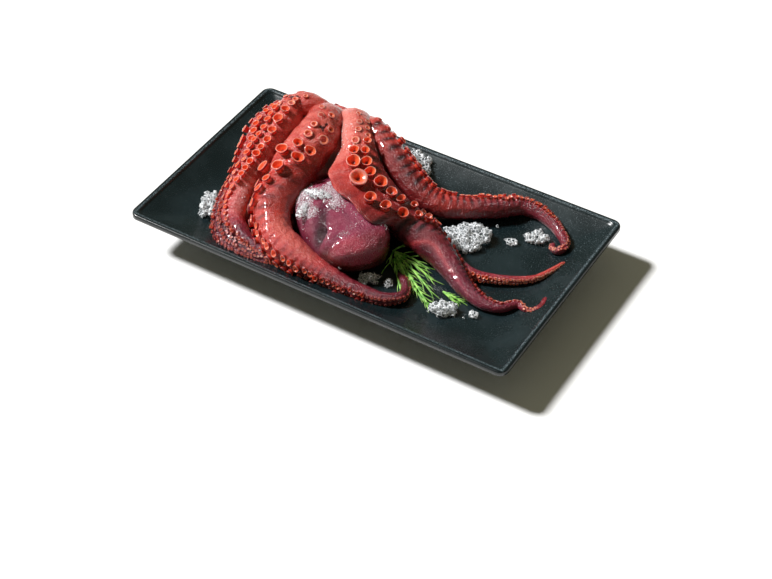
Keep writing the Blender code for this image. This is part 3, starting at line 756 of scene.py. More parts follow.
@dataclass
class Platter:
    """A rectangular platter: flat floor, four rising sides that meet in mitres, low foot ring."""

    length: float = 400.0
    width: float = 230.0
    height: float = 24.0
    wall: float = 5.6
    floor_top: float = 11.0
    slope_run: float = 42.0
    slope_bend: float = 1.5
    edge_round: float = 1.6
    corner_radius: float = 9.0
    floor_corner_radius: float = 2.5
    corner_steps: int = 18
    foot_inset: float = 52.0
    foot_width: float = 6.0
    finish: GlazeFinish = GlazeFinish()

    def side_height(self, inset: Any) -> np.ndarray:
        """Return the upper surface's height at a distance in from the edge."""
        run = self.slope_run - self.edge_round
        rise = np.clip((self.slope_run - np.asarray(inset, dtype=float)) / run, 0.0, 1.0)
        return self.floor_top + (self.height - self.floor_top) * rise ** self.slope_bend

    def top(self, points: np.ndarray) -> np.ndarray:
        """Return the height of the upper surface under each point."""
        inset = np.minimum(self.length / 2 - np.abs(points[..., 0]), self.width / 2 - np.abs(points[..., 1]))
        return self.side_height(inset)

    def outline(self, inset: float, height: float) -> np.ndarray:
        """Return the outline at one inset and height, its corners tighter further in."""
        half = np.array((self.length / 2 - inset, self.width / 2 - inset))
        share = min(1.0, inset / self.slope_run)
        radius = self.corner_radius + (self.floor_corner_radius - self.corner_radius) * share
        ring = []
        for quarter, signs in enumerate(((1, 1), (-1, 1), (-1, -1), (1, -1))):
            turn = (quarter + np.linspace(0.0, 1.0, self.corner_steps + 1)) * math.pi / 2
            corner = np.array(signs) * (half - radius)
            ring.append(corner + radius * np.column_stack([np.cos(turn), np.sin(turn)]))
        flat = self._with_long_sides(np.concatenate(ring))
        return np.column_stack([flat, np.full(len(flat), height)])

    def _with_long_sides(self, corners: np.ndarray, pieces: int = 12) -> np.ndarray:
        """Add points along the straight sides between the corners."""
        per_corner = self.corner_steps + 1
        rows = []
        for quarter in range(4):
            own = corners[quarter * per_corner:(quarter + 1) * per_corner]
            after = corners[((quarter + 1) * per_corner) % len(corners)]
            share = np.linspace(0.0, 1.0, pieces, endpoint=False)[1:, None]
            rows += [own, own[-1] + (after - own[-1]) * share]
        return np.concatenate(rows)

    def profile(self) -> list[tuple[float, float]]:
        """Return (inset, height) from the middle of the underside, round the edge, to the floor."""
        foot, round_off = self.foot_inset, self.edge_round
        under, base = self.floor_top - self.wall, -FOOT_DROP
        rows = [(self.width / 2 - 14.0, under), (foot + self.foot_width + 4.0, under)]
        rows += [(foot + self.foot_width + 1.0, under - 1.0), (foot + self.foot_width, base + 1.0),
                 (foot + self.foot_width - 1.0, base), (foot + 1.0, base), (foot, base + 1.0), (foot - 2.0, under)]
        for inset in np.linspace(38.0, round_off, 12):
            rows.append((float(inset), float(self.side_height(inset)) - self.wall))
        low, high = self.height - self.wall + 0.6, self.height
        rows.append((0.5, low - 0.35))
        rows.append((0.0, low + 0.2))
        for turn in np.linspace(0.0, math.pi / 2, 7):
            rows.append((round_off * (1.0 - math.cos(turn)), high - round_off * (1.0 - math.sin(turn))))
        rows += [(2.6, high), (3.8, high - 0.1), (4.6, high - 0.35), (5.2, high - 0.75)]
        for inset in np.linspace(6.0, self.slope_run, 28):
            rows.append((float(inset), float(self.side_height(inset))))
        for inset in (self.slope_run + 3.0, self.slope_run + 20.0, self.width / 2 - 14.0):
            rows.append((inset, self.floor_top))
        return rows

    def build(self) -> None:
        """Make the platter in place of its solid."""
        rings = np.stack([self.outline(*row) for row in self.profile()])
        piece = make_piece("platter", Shape.tube(rings), self.finish.build("slate_glaze"))
        hand_over(piece, "stoneware", ["plate"])


# ---------------------------------------------------------------- suckers

class Cup(Enum):
    """Forms of sucker, in the order in which the tree picks them."""

    FLAT = 0
    SHALLOW = 1
    DEEP = 2
    WIDE = 3
    BUD = 4


@dataclass(frozen=True)
class CupForm:
    """A sucker as a turned profile: (radius, height, zone) rows, in lip radii."""

    sides: int
    profile: Sequence[tuple[float, float, float]]
    ripple: float = 0.0

    def shape(self) -> Shape:
        """Return the turned sucker with its zone numbers."""
        turn = np.linspace(0.0, math.tau, self.sides, endpoint=False)
        rows = np.asarray(self.profile)
        wave = 1.0 + self.ripple * np.sin(3 * turn + 0.6) + self.ripple * 0.7 * np.sin(5 * turn)
        radius = rows[:, :1] * wave
        height = np.broadcast_to(rows[:, 1:2], radius.shape)
        rings = np.stack([radius * np.cos(turn), radius * np.sin(turn), height], axis=-1)
        return Shape.tube(rings, {"zone": rows[:, 2:]})


CUP_FORMS: dict[Cup, CupForm] = {
    Cup.FLAT: CupForm(22, (
        (0.92, -0.60, 0.0), (0.99, -0.05, 0.4), (1.00, 0.12, 0.78), (0.95, 0.26, 0.92), (0.84, 0.34, 1.0),
        (0.68, 0.32, 1.08), (0.52, 0.22, 1.25), (0.42, 0.12, 1.6), (0.32, 0.04, 2.1), (0.24, -0.08, 2.6),
        (0.07, -0.12, 2.9)), 0.02),
    Cup.SHALLOW: CupForm(22, (
        (0.84, -0.80, 0.0), (0.88, 0.00, 0.2), (0.96, 0.30, 0.70), (1.00, 0.44, 0.80), (0.98, 0.56, 0.92),
        (0.90, 0.60, 1.0), (0.80, 0.54, 1.12), (0.68, 0.40, 1.4), (0.52, 0.28, 1.7), (0.38, 0.20, 2.1),
        (0.28, 0.08, 2.6), (0.08, 0.02, 2.9)), 0.03),
    Cup.DEEP: CupForm(26, (
        (0.78, -1.00, 0.0), (0.80, -0.25, 0.1), (0.86, 0.20, 0.3), (0.95, 0.48, 0.70), (1.00, 0.64, 0.80),
        (0.99, 0.76, 0.91), (0.92, 0.82, 1.0), (0.84, 0.77, 1.1), (0.76, 0.60, 1.4), (0.64, 0.38, 1.7),
        (0.50, 0.22, 2.0), (0.36, 0.12, 2.3), (0.24, -0.04, 2.8), (0.06, -0.10, 3.0)), 0.035),
    Cup.WIDE: CupForm(30, (
        (0.76, -1.00, 0.0), (0.78, -0.30, 0.1), (0.85, 0.16, 0.3), (0.96, 0.42, 0.70), (1.00, 0.54, 0.80),
        (0.98, 0.64, 0.91), (0.92, 0.69, 1.0), (0.74, 0.60, 1.06), (0.54, 0.48, 1.12), (0.40, 0.38, 1.4),
        (0.32, 0.26, 1.9), (0.22, 0.06, 2.6), (0.05, 0.00, 3.0)), 0.02),
    Cup.BUD: CupForm(11, (
        (0.88, -0.60, 0.1), (1.00, 0.15, 0.7), (0.94, 0.46, 0.95), (0.70, 0.54, 1.0), (0.44, 0.42, 1.2),
        (0.20, 0.30, 1.8))),
}


@dataclass
class CupRow:
    """The suckers of one row on an arm, as arrays of one number or vector for each."""

    place: np.ndarray
    angle: np.ndarray
    radius: np.ndarray


# ---------------------------------------------------------------- arms

@dataclass(frozen=True)
class Fin:
    """A hanging edge of skin: its free edge and the share of the arm that it does not pass."""

    edge: Knots
    stop: float
    thickness: float = 1.7
    ripple: float = 2.2


PITCH = ((0.0, 2.4), (0.06, 2.0), (0.12, 1.6), (0.20, 1.38), (0.28, 1.22), (0.36, 1.08), (1.0, 1.04))


@dataclass
class Arm:
    """One arm, from the crown to its tip.

    knots are (x, y, z, radius); oral is (knot number, way the suckers face). A row of suckers
    is (share of the length, degrees from the oral line, radius). looks is (share, tone of the
    oral side, of the first flank, of the back, of the second flank, plum); its tones are the skin's
    own colour with painted light and shade in them, paler where a face is lit and darker on
    flanks that lie in shadow. ridges is (share, depth of the creases on the first flank, on the
    second) as parts of the arm's radius. A highlight stripe is (share, degrees from the oral line,
    half width in degrees, tone): a painted highlight along a lit edge.
    """

    name: str
    knots: Knots
    oral: Sequence[tuple[int, Colour]]
    rows: Sequence[Knots]
    looks: Knots
    ridges: Knots = ((0.0, 0.02, 0.02), (1.0, 0.02, 0.02))
    highlight_stripes: Sequence[Knots] = ()
    sides: int = 72
    step: float = 1.0
    fin: Fin | None = None
    seed: int = 1
    centres: np.ndarray = field(init=False)
    radii: np.ndarray = field(init=False)
    along: np.ndarray = field(init=False)
    facing: np.ndarray = field(init=False)
    across: np.ndarray = field(init=False)
    place: np.ndarray = field(init=False)

    def __post_init__(self) -> None:
        """Work out the arm's line and the directions along it."""
        knots = np.asarray(self.knots, dtype=float)
        numbers = [number for number, _ in self.oral]
        ways = np.array([unit(way) for _, way in self.oral])
        oral = [np.interp(range(len(knots)), numbers, ways[:, axis]) for axis in range(3)]
        path = smooth_path(np.column_stack([knots, *oral]), self.step, soften=2.2)
        self.centres, self.radii = path[:, :3], np.maximum(path[:, 3], 0.9)
        self.along = unit(np.gradient(self.centres, axis=0))
        facing = path[:, 4:]
        self.facing = unit(facing - np.sum(facing * self.along, axis=1)[:, None] * self.along)
        self.across = np.cross(self.along, self.facing)
        spans = np.linalg.norm(np.diff(self.centres, axis=0), axis=1)
        self.place = np.concatenate(([0.0], np.cumsum(spans)))

    @property
    def share(self) -> np.ndarray:
        """Return how far along the arm each ring is, from 0 to 1."""
        return self.place / self.place[-1]

    def ways(self, angle: np.ndarray, index: Any = slice(None)) -> np.ndarray:
        """Return outward unit vectors at angles (ring, side) from the oral line."""
        return np.cos(angle)[..., None] * self.facing[index][:, None] \
            + np.sin(angle)[..., None] * self.across[index][:, None]

    def fin_lines(self) -> tuple[np.ndarray, np.ndarray, np.ndarray]:
        """Return the fin's angle, its reach from the centre and which side of it is its upper one."""
        count = len(self.place)
        if self.fin is None:
            return np.zeros(count), np.zeros(count), np.ones(count)
        edge = smooth_path(self.fin.edge, 1.0, soften=3.0)[:, :3]
        ahead = np.einsum("rek,rk->re", edge[None] - self.centres[:, None], self.along)
        nearest = np.abs(ahead).argmin(axis=1)
        offset = edge[nearest] - self.centres
        inside = np.abs(ahead[np.arange(count), nearest]) < 1.5
        inside &= self.share < self.fin.stop
        angle = np.unwrap(np.arctan2(np.sum(offset * self.across, axis=1), np.sum(offset * self.facing, axis=1)))
        angle = np.interp(self.share, self.share[inside], angle[inside])
        first, last = self.place[inside][0], self.place[inside][-1]
        ends = ease((self.place - first) / 12.0) * ease((last - self.place) / 16.0)
        reach = np.linalg.norm(offset, axis=1) * ends
        reach += self.fin.ripple * lattice_noise(self.centres, 9.0, 41) * ends
        rise = -np.sin(angle) * self.facing[:, 2] + np.cos(angle) * self.across[:, 2]
        return angle, reach, np.sign(np.interp(self.share, self.share[inside], rise[inside]))

    def reach(self, angle: np.ndarray, index: Any = slice(None)) -> np.ndarray:
        """Return the smooth body's distance from the arm's line, with the fin.

        Args:
            angle: angles from the oral line, as (ring, side).
            index: which rings.

        Returns:
            Distances of the same shape.
        """
        radius = self.radii[index][:, None]
        base = radius * (1.0 - 0.05 * np.clip(np.cos(angle), 0.0, 1.0) ** 2)
        keel = np.exp(-((np.abs(np.angle(np.exp(1j * angle))) - 1.05) / 0.35) ** 2)
        base = base * (1.0 + 0.045 * keel)
        if self.fin is None:
            return base
        middle, far, upper = (line[index][:, None] for line in self._fin)
        edge = self.fin.thickness
        off = np.angle(np.exp(1j * (angle - middle)))
        far = np.maximum(far, radius - edge + 1e-6)
        tangent = np.arccos(np.clip((radius - edge) / far, -1.0, 1.0))
        turn_off = np.arctan2(edge * np.sin(tangent), far + edge * np.cos(tangent))
        size = np.abs(off)
        straight = radius / np.cos(np.clip(tangent - size, 0.0, 1.5))
        root = np.sqrt(np.maximum(edge**2 - (far * np.sin(size)) ** 2, 0.0))
        hull = np.where(size < turn_off, far * np.cos(size) + root, np.where(size < tangent, straight, radius))
        grown = np.maximum(far + edge - radius, 1e-6)
        part = np.clip((hull - radius) / grown, 0.0, 1.0)
        under = off * upper < 0.0
        return base + grown * np.where(under, part**2.2, part**0.95) * (far > radius - edge + 1e-5)

    @property
    def _fin(self) -> tuple[np.ndarray, np.ndarray, np.ndarray]:
        """Return the fin's lines, worked out once."""
        if not hasattr(self, "_fin_cache"):
            self._fin_cache = self.fin_lines()
        return self._fin_cache

    def cup_rows(self) -> list[CupRow]:
        """Walk along the arm and return where each row's suckers stand."""
        random = np.random.default_rng(self.seed)
        found = []
        for knots in self.rows:
            table = np.asarray(knots, dtype=float)
            place, rows = table[0, 0] * self.place[-1], []
            while place < self.place[-1] * 0.985:
                share = place / self.place[-1]
                radius = float(np.interp(share, table[:, 0], table[:, 2])) * random.uniform(0.86, 1.14)
                loose = 3.0 + 7.0 * max(0.0, 2.6 - radius)
                angle = math.radians(float(np.interp(share, table[:, 0], table[:, 1])) + random.uniform(-loose, loose))
                rows.append((place, angle, radius))
                place += 2.0 * radius * float(follow(PITCH, share)) * random.uniform(0.94, 1.06)
            found.append(CupRow(*np.array(rows).T))
        return found

    def surface(self) -> Shape:
        """Return the arm's skin with its mounds, creases and colour numbers."""
        count = len(self.place)
        turn = np.linspace(-math.pi, math.pi, self.sides, endpoint=False)
        tight = 0.55 if self.fin else 0.0
        offset = self._fin[0][:, None] if self.fin else np.zeros((count, 1))
        angle = offset + turn - tight * np.sin(turn)
        body = self.reach(angle)
        wrapped = np.angle(np.exp(1j * angle))
        flank = np.abs(wrapped)
        crease, lift, near = (np.zeros_like(body) for _ in range(3))
        depth = np.asarray(self.ridges, dtype=float)
        rows = self.cup_rows()
        for number, (row, sign) in enumerate(zip(rows, (1.0, -1.0))):
            phase = np.interp(self.place, row.place, np.arange(len(row.place)))[:, None]
            sway = 0.10 * np.sin(wrapped * 2.0 + phase * 1.7)
            between = (0.5 - 0.5 * np.cos(math.tau * (phase + sway))) ** 2.2
            start = np.abs(np.interp(self.place, row.place, row.angle))[:, None]
            window = ease((flank - start - 0.05) / 0.35) * (1.0 - ease((flank - start - 0.55) / 0.75))
            amount = np.interp(self.share, depth[:, 0], depth[:, number + 1])[:, None]
            cut = between * window * (wrapped * sign > 0.0)
            # Painted shade: crease darkens the skin in the creases between the suckers.
            crease = np.maximum(crease, cut * np.clip(amount * 9.0, 0.0, 1.0))
            lift -= cut * amount * self.radii[:, None]
        for row in rows:
            for place, cup_angle, radius in zip(row.place, row.angle, row.radius):
                low, high = np.searchsorted(self.place, (place - 2.6 * radius, place + 2.6 * radius))
                part = slice(low, max(high, low + 1))
                sideways = np.angle(np.exp(1j * (angle[part] - cup_angle))) * self.radii[part][:, None]
                away = np.hypot(self.place[part][:, None] - place, sideways) / radius
                mound = 0.34 * radius * (1.0 - ease((away - 0.75) / 0.75))
                lift[part] = np.maximum(lift[part], lift[part] * 0.3 + mound)
                near[part] = np.maximum(near[part], 1.0 - ease((away - 1.0) / 0.8))
        ways = self.ways(angle)
        points = self.centres[:, None] + ways * body[..., None]
        rough = lattice_noise(points, 17.0, self.seed) * 0.040 + lattice_noise(points, 7.0, self.seed + 5) * 0.026
        small = lattice_noise(points, 3.4, self.seed + 9) * 0.42 + lattice_noise(points, 1.9, self.seed + 11) * 0.16
        small = small * np.clip(self.radii / 9.0, 0.35, 1.0)[:, None]
        lift += rough * self.radii[:, None] + small
        ending = np.sqrt(np.clip((self.place[-1] - self.place) / (self.radii[-1] * 1.5), 0.0, 1.0))[:, None]
        points = self.centres[:, None] + ways * (np.maximum(body + lift, 0.6) * ending)[..., None]
        return Shape.tube(points, self._marks(wrapped, crease, near))

    def _marks(self, angle: np.ndarray, crease: np.ndarray, near: np.ndarray) -> dict[str, np.ndarray]:
        """Return the colour numbers of the skin from the looks at each share."""
        looks = np.asarray(self.looks, dtype=float)
        oral, first, back, second, plum = (np.interp(self.share, looks[:, 0], column)[:, None]
                                           for column in looks[:, 1:].T)
        size = np.abs(angle) / (math.pi / 2)
        flank = np.where(angle > 0.0, first, second)
        tone = np.where(size < 1.0, oral + (flank - oral) * ease(size), flank + (back - flank) * ease(size - 1.0))
        # Painted highlights: each highlight stripe pulls the tone towards its own value along a lit edge.
        for highlight_stripe in self.highlight_stripes:
            knots = np.asarray(highlight_stripe, dtype=float)
            middle, half, value = (np.interp(self.share, knots[:, 0], column)[:, None] for column in knots[:, 1:].T)
            inside = (self.share >= knots[0, 0]) & (self.share <= knots[-1, 0])
            away = np.angle(np.exp(1j * (angle - np.radians(middle)))) / np.radians(half)
            tone = tone + (value - tone) * np.exp(-away**2) * inside[:, None]
        tone = tone + (0.56 - tone) * near * 0.55
        cover = np.clip((tone - 0.74) * 1.5, 0.0, 0.3) * (1.0 - near) * (self.share[:, None] > 0.1)
        return {"tone": tone, "plum": np.broadcast_to(plum, tone.shape) * (1.0 - 0.6 * near),
                "crease": crease, "cover": cover}

    def seeds(self) -> dict[str, np.ndarray]:
        """Return where the suckers stand, which form each has and how it is turned and sized."""
        random = np.random.default_rng(self.seed + 70)
        looks = np.asarray(self.looks, dtype=float)
        out: dict[str, list[Any]] = {key: [] for key in ("place", "x", "z", "size", "kind", "tone")}
        for row in self.cup_rows():
            for place, angle, radius in zip(row.place, row.angle, row.radius):
                ring = int(np.clip(np.searchsorted(self.place, place), 1, len(self.place) - 2))
                index = np.array([ring])
                nudge = np.array([[angle - 0.05, angle, angle + 0.05]])
                spread = self.reach(nudge, index)[0]
                line = self.centres[ring] + self.ways(nudge, index)[0] * spread[:, None]
                normal = unit(np.cross(line[2] - line[0], self.along[ring]))
                normal = normal * np.sign(np.dot(normal, line[1] - self.centres[ring]))
                normal = unit(normal + self.facing[ring] * 0.55 + random.normal(0.0, 0.08, 3))
                share = place / self.place[-1]
                kind = self._form(share, radius, random)
                lift = {Cup.FLAT: 0.22, Cup.SHALLOW: 0.30, Cup.DEEP: 0.55, Cup.WIDE: 0.55, Cup.BUD: 0.30}[kind]
                x_way = unit(self.along[ring] - np.dot(self.along[ring], normal) * normal)
                squeeze = random.uniform(0.84, 1.04) if kind in (Cup.DEEP, Cup.SHALLOW) else 1.0
                out["place"].append(line[1] + normal * lift * radius)
                out["x"].append(x_way)
                out["z"].append(normal)
                out["size"].append((radius * squeeze, radius / squeeze ** 0.5, radius * random.uniform(0.9, 1.1)))
                out["kind"].append(kind.value)
                paler = 0.45 * max(0.0, 1.6 - radius)
                out["tone"].append(float(np.interp(share, looks[:, 0], looks[:, 1])) + paler)
        return {key: np.array(rows) for key, rows in out.items()}

    @staticmethod
    def _form(share: float, radius: float, random: np.random.Generator) -> Cup:
        """Choose a sucker's form by its place and its size."""
        if radius < 1.75:
            return Cup.BUD
        if share < 0.175:
            return Cup.FLAT
        if radius > 7.5:
            return Cup.WIDE
        if radius > 3.4:
            return Cup.DEEP
        return Cup.SHALLOW if random.random() < 0.7 else Cup.DEEP


FAR_LEFT = Arm(
    "far_left",
    knots=((-108, 78, 50, 12), (-129, 71, 55, 11.5), (-142, 55, 52, 11.5), (-147, 32, 47, 12),
           (-140.5, 8, 40, 12), (-134, -14, 33, 12), (-129.5, -38, 28, 12), (-125.5, -61, 24, 11),
           (-117, -80, 20.5, 10), (-104, -92, 19, 9), (-86, -97, 18.5, 8), (-68, -97, 17.5, 6.5),
           (-50, -93, 16, 5), (-34, -88, 15, 3)),
    oral=((0, (-0.3, 0.6, 0.7)), (3, (-0.8, -0.1, 0.6)), (5, (-0.8, -0.2, 0.5)), (7, (-0.5, -0.4, 0.75)),
          (9, (-0.15, -0.75, 0.65)), (13, (0.0, -0.8, 0.6))),
    rows=(((0.12, 8, 3.0), (0.30, 0, 3.6), (0.48, 6, 3.2), (0.56, 18, 2.1), (0.8, 18, 1.6), (1, 20, 0.9)),
          ((0.10, -42, 2.8), (0.30, -56, 3.6), (0.46, -62, 3.3), (0.56, -24, 2.1), (0.8, -16, 1.6), (1, -20, 0.9)),
          ((0.50, 54, 1.9), (0.64, 52, 1.8), (0.8, 50, 1.4), (1, 50, 0.8)),
          ((0.53, -62, 1.9), (0.64, -58, 1.8), (0.8, -50, 1.4), (1, -50, 0.8))),
    looks=((0, 0.60, 0.55, 0.55, 0.62, 0.05), (0.3, 0.56, 0.48, 0.48, 0.60, 0.12), (0.5, 0.38, 0.34, 0.40, 0.54, 0.36),
           (0.60, 0.17, 0.13, 0.17, 0.22, 0.42), (1, 0.17, 0.15, 0.17, 0.19, 0.45)),
    ridges=((0.1, 0.06, 0.10), (0.5, 0.08, 0.12), (1, 0.06, 0.06)), seed=3)

LEFT = Arm(
    "left",
    knots=((-103, 74, 54, 13), (-119, 70, 60, 14), (-130, 58, 60, 14), (-125, 37, 58, 15.5),
           (-124, 13, 53, 15.5), (-123, -10, 46, 15), (-122, -33, 38, 14), (-118, -53, 31, 13),
           (-111, -71, 27, 12), (-96, -83, 23, 10), (-78, -89, 20.5, 8), (-60, -90, 18.5, 6.5),
           (-44, -86, 16.5, 4.5), (-30, -82, 15, 2.5)),
    oral=((0, (-0.2, 0.6, 0.75)), (3, (-0.3, -0.1, 0.95)), (5, (-0.7, -0.2, 0.7)),
          (7, (-0.8, -0.45, 0.35)), (9, (-0.4, -0.75, 0.35)), (13, (0.0, -0.9, 0.4))),
    rows=(((0.09, 24, 2.6), (0.16, 21, 3.0), (0.23, 15, 3.3), (0.32, -14, 3.4), (0.43, -24, 3.2),
           (0.55, -10, 3.0), (0.66, 10, 2.5), (0.85, 20, 1.6), (1, 20, 0.8)),
          ((0.08, -38, 2.9), (0.15, -36, 3.8), (0.23, -24, 4.7), (0.28, -39, 4.6), (0.33, -57, 4.5),
           (0.42, -60, 3.9), (0.50, -60, 3.2), (0.60, -42, 2.7), (0.72, -24, 2.2), (1, -20, 0.8)),
          ((0.50, 36, 2.0), (0.62, 46, 1.9), (0.8, 50, 1.5), (1, 50, 0.8))),
    looks=((0, 0.66, 0.6, 0.6, 0.60, 0.0), (0.2, 0.78, 0.70, 0.62, 0.70, 0.04), (0.42, 0.66, 0.6, 0.6, 0.76, 0.10),
           (0.55, 0.70, 0.54, 0.76, 0.90, 0.20), (0.66, 0.52, 0.34, 0.66, 0.86, 0.28), (0.74, 0.30, 0.24, 0.32, 0.36, 0.38),
           (1, 0.32, 0.28, 0.28, 0.32, 0.45)),
    ridges=((0.1, 0.04, 0.03), (0.3, 0.05, 0.05), (0.6, 0.07, 0.03), (1, 0.06, 0.05)), seed=5)

FRONT = Arm(
    "front",
    knots=((-94, 73, 53, 14), (-93, 61, 61, 16.5), (-87, 43, 61, 20), (-85, 19, 57, 22),
           (-85, -5, 50, 22), (-82, -31, 43.5, 20), (-76, -57, 38, 17.5), (-58, -77, 32, 16),
           (-32, -85, 28, 14.5), (-9, -87, 23.5, 11.3), (12, -88, 21, 9.2), (40, -87, 19, 6.8),
           (64, -81, 17.5, 5.6), (72, -70, 16.5, 5), (68, -58, 16, 4.3), (60, -50, 15.5, 3.5),
           (51, -46, 15, 2.4)),
    oral=((0, (-0.05, 0.6, 0.8)), (1, (0.1, 0.2, 0.97)), (2, (0.45, -0.1, 0.88)), (4, (0.2, -0.2, 0.95)),
          (5, (-0.55, -0.4, 0.7)), (6, (-0.8, -0.5, 0.2)), (7, (-0.5, -0.85, 0.0)), (9, (0.0, -1.0, -0.1)),
          (12, (0.5, -0.8, 0.1)), (13, (0.9, -0.2, 0.1)), (16, (0.5, 0.8, 0.0))),
    rows=(((0.059, 18, 2.8), (0.107, 26, 4.0), (0.157, 16, 4.6), (0.196, 14, 5.0), (0.231, 24, 5.6),
           (0.270, 36, 6.7), (0.32, 38, 5.4), (0.42, 26, 4.2), (0.5, 22, 3.8), (0.62, 22, 3.2),
           (0.75, 22, 2.3), (0.9, 22, 1.4), (1, 20, 0.7)),
          ((0.080, -8, 3.9), (0.124, -18, 4.6), (0.169, -24, 5.2), (0.216, -18, 5.7), (0.264, -16, 6.8),
           (0.308, -18, 5.6), (0.359, -24, 4.9), (0.388, -30, 4.4), (0.43, -18, 3.7), (0.5, -24, 3.5),
           (0.62, -26, 3.0), (0.75, -24, 2.2), (0.9, -22, 1.3), (1, -20, 0.7))),
    # Painted light and shade: the upper oral side is paler where it is lit, the tail darker where it lies in shadow.
    looks=((0, 0.66, 0.58, 0.5, 0.56, 0.0), (0.12, 0.74, 0.72, 0.5, 0.62, 0.0), (0.24, 0.70, 0.70, 0.5, 0.52, 0.0),
           (0.34, 0.60, 0.62, 0.50, 0.52, 0.0), (0.42, 0.60, 0.5, 0.6, 0.55, 0.0), (0.48, 0.58, 0.46, 0.72, 0.76, 0.06),
           (0.62, 0.38, 0.26, 0.60, 0.70, 0.12), (0.75, 0.26, 0.20, 0.30, 0.36, 0.28), (1, 0.22, 0.20, 0.24, 0.26, 0.38)),
    ridges=((0.1, 0.02, 0.02), (0.3, 0.03, 0.03), (0.45, 0.05, 0.05), (0.6, 0.05, 0.03), (1, 0.06, 0.03)),
    sides=88, seed=7)

MIDDLE = Arm(
    "middle",
    knots=((-82, 76, 51, 13), (-68, 72, 60.5, 14), (-51, 51, 60, 16), (-36, 33, 55, 17),
           (-19, 18, 48, 18), (2, 7, 41, 19), (25, 2, 35, 18), (48, -2, 29, 17), (71, -9, 25, 14.5),
           (95, -22, 21.5, 11), (117, -35, 19, 8), (137, -41, 17, 6), (154, -37, 15.5, 4.6),
           (166, -24, 15, 3.4), (174, -27, 14.5, 2.9), (183, -19, 14.5, 2.4), (182, -5, 14.5, 1.8)),
    oral=((0, (0.05, 0.6, 0.8)), (2, (0.30, -0.15, 0.95)), (3, (0.14, -0.22, 0.97)), (4, (0.11, -0.35, 0.93)),
          (5, (0.14, -0.36, 0.92)), (6, (0.18, -0.33, 0.93)), (7, (0.35, 0.45, 0.8)), (8, (0.5, 0.82, -0.3)),
          (10, (0.42, 0.86, -0.25)), (11, (0.2, 0.8, 0.4)), (12, (-0.3, 0.6, 0.7)), (13, (-0.1, 0.6, 0.7)),
          (14, (0.2, -0.3, 0.9)), (16, (0.8, -0.2, 0.5))),
    rows=(((0.076, 6, 2.9), (0.126, 6, 3.9), (0.165, 15, 4.2), (0.195, 21, 4.2), (0.234, 25, 5.5),
           (0.285, 29, 8.5), (0.336, 28, 7.1), (0.378, 29, 6.6), (0.411, 22, 5.8), (0.44, 20, 5.1),
           (0.48, 16, 3.8), (0.56, 24, 3.0), (0.68, 24, 2.5), (0.8, 24, 1.8), (1, 20, 0.7)),
          ((0.095, -26, 2.8), (0.15, -25, 3.6), (0.18, -23, 3.6), (0.213, -11, 3.7), (0.249, -9, 5.5),
           (0.30, -5, 6.3), (0.342, -8, 6.2), (0.384, -16, 5.4), (0.417, -25, 4.5), (0.44, -30, 3.6),
           (0.5, -24, 3.0), (0.56, -20, 2.8), (0.68, -20, 2.4), (0.8, -22, 1.7), (1, -20, 0.7))),
    # Painted shade: the first flank falls to 0.42 and 0.22 from share 0.32 to 0.48, where the skirt's lower part lies
    # in shadow.
    looks=((0, 0.74, 0.84, 0.6, 0.5, 0.0), (0.12, 0.80, 0.90, 0.6, 0.46, 0.02), (0.26, 0.68, 0.76, 0.56, 0.38, 0.04),
           (0.32, 0.54, 0.42, 0.44, 0.34, 0.05), (0.38, 0.42, 0.22, 0.32, 0.30, 0.08), (0.48, 0.38, 0.26, 0.26, 0.32, 0.16),
           (0.56, 0.38, 0.36, 0.24, 0.36, 0.22), (0.72, 0.32, 0.28, 0.26, 0.32, 0.50),
           (0.82, 0.36, 0.36, 0.34, 0.38, 0.50), (1, 0.54, 0.54, 0.54, 0.54, 0.30)),
    ridges=((0.1, 0.0, 0.03), (0.3, 0.02, 0.05), (0.46, 0.06, 0.08), (0.54, 0.20, 0.08), (0.70, 0.18, 0.06),
            (0.8, 0.05, 0.06), (1, 0.05, 0.05)),
    # Painted highlight: a pale stripe along the lit edge of the lower body.
    highlight_stripes=(((0.49, 128, 13, 0.50), (0.58, 136, 14, 0.54), (0.70, 140, 14, 0.46), (0.76, 140, 12, 0.44)),),
    sides=116, fin=Fin(edge=((-69, 58, 58), (-54, 26, 60), (-44, -5, 63.5), (-34, -18, 64), (-19.5, -25, 63.5),
                             (-1, -32.5, 64.5), (13, -38, 61), (23.5, -38, 56), (33, -34, 50), (39.5, -26.5, 43)),
                       stop=0.47), seed=11)

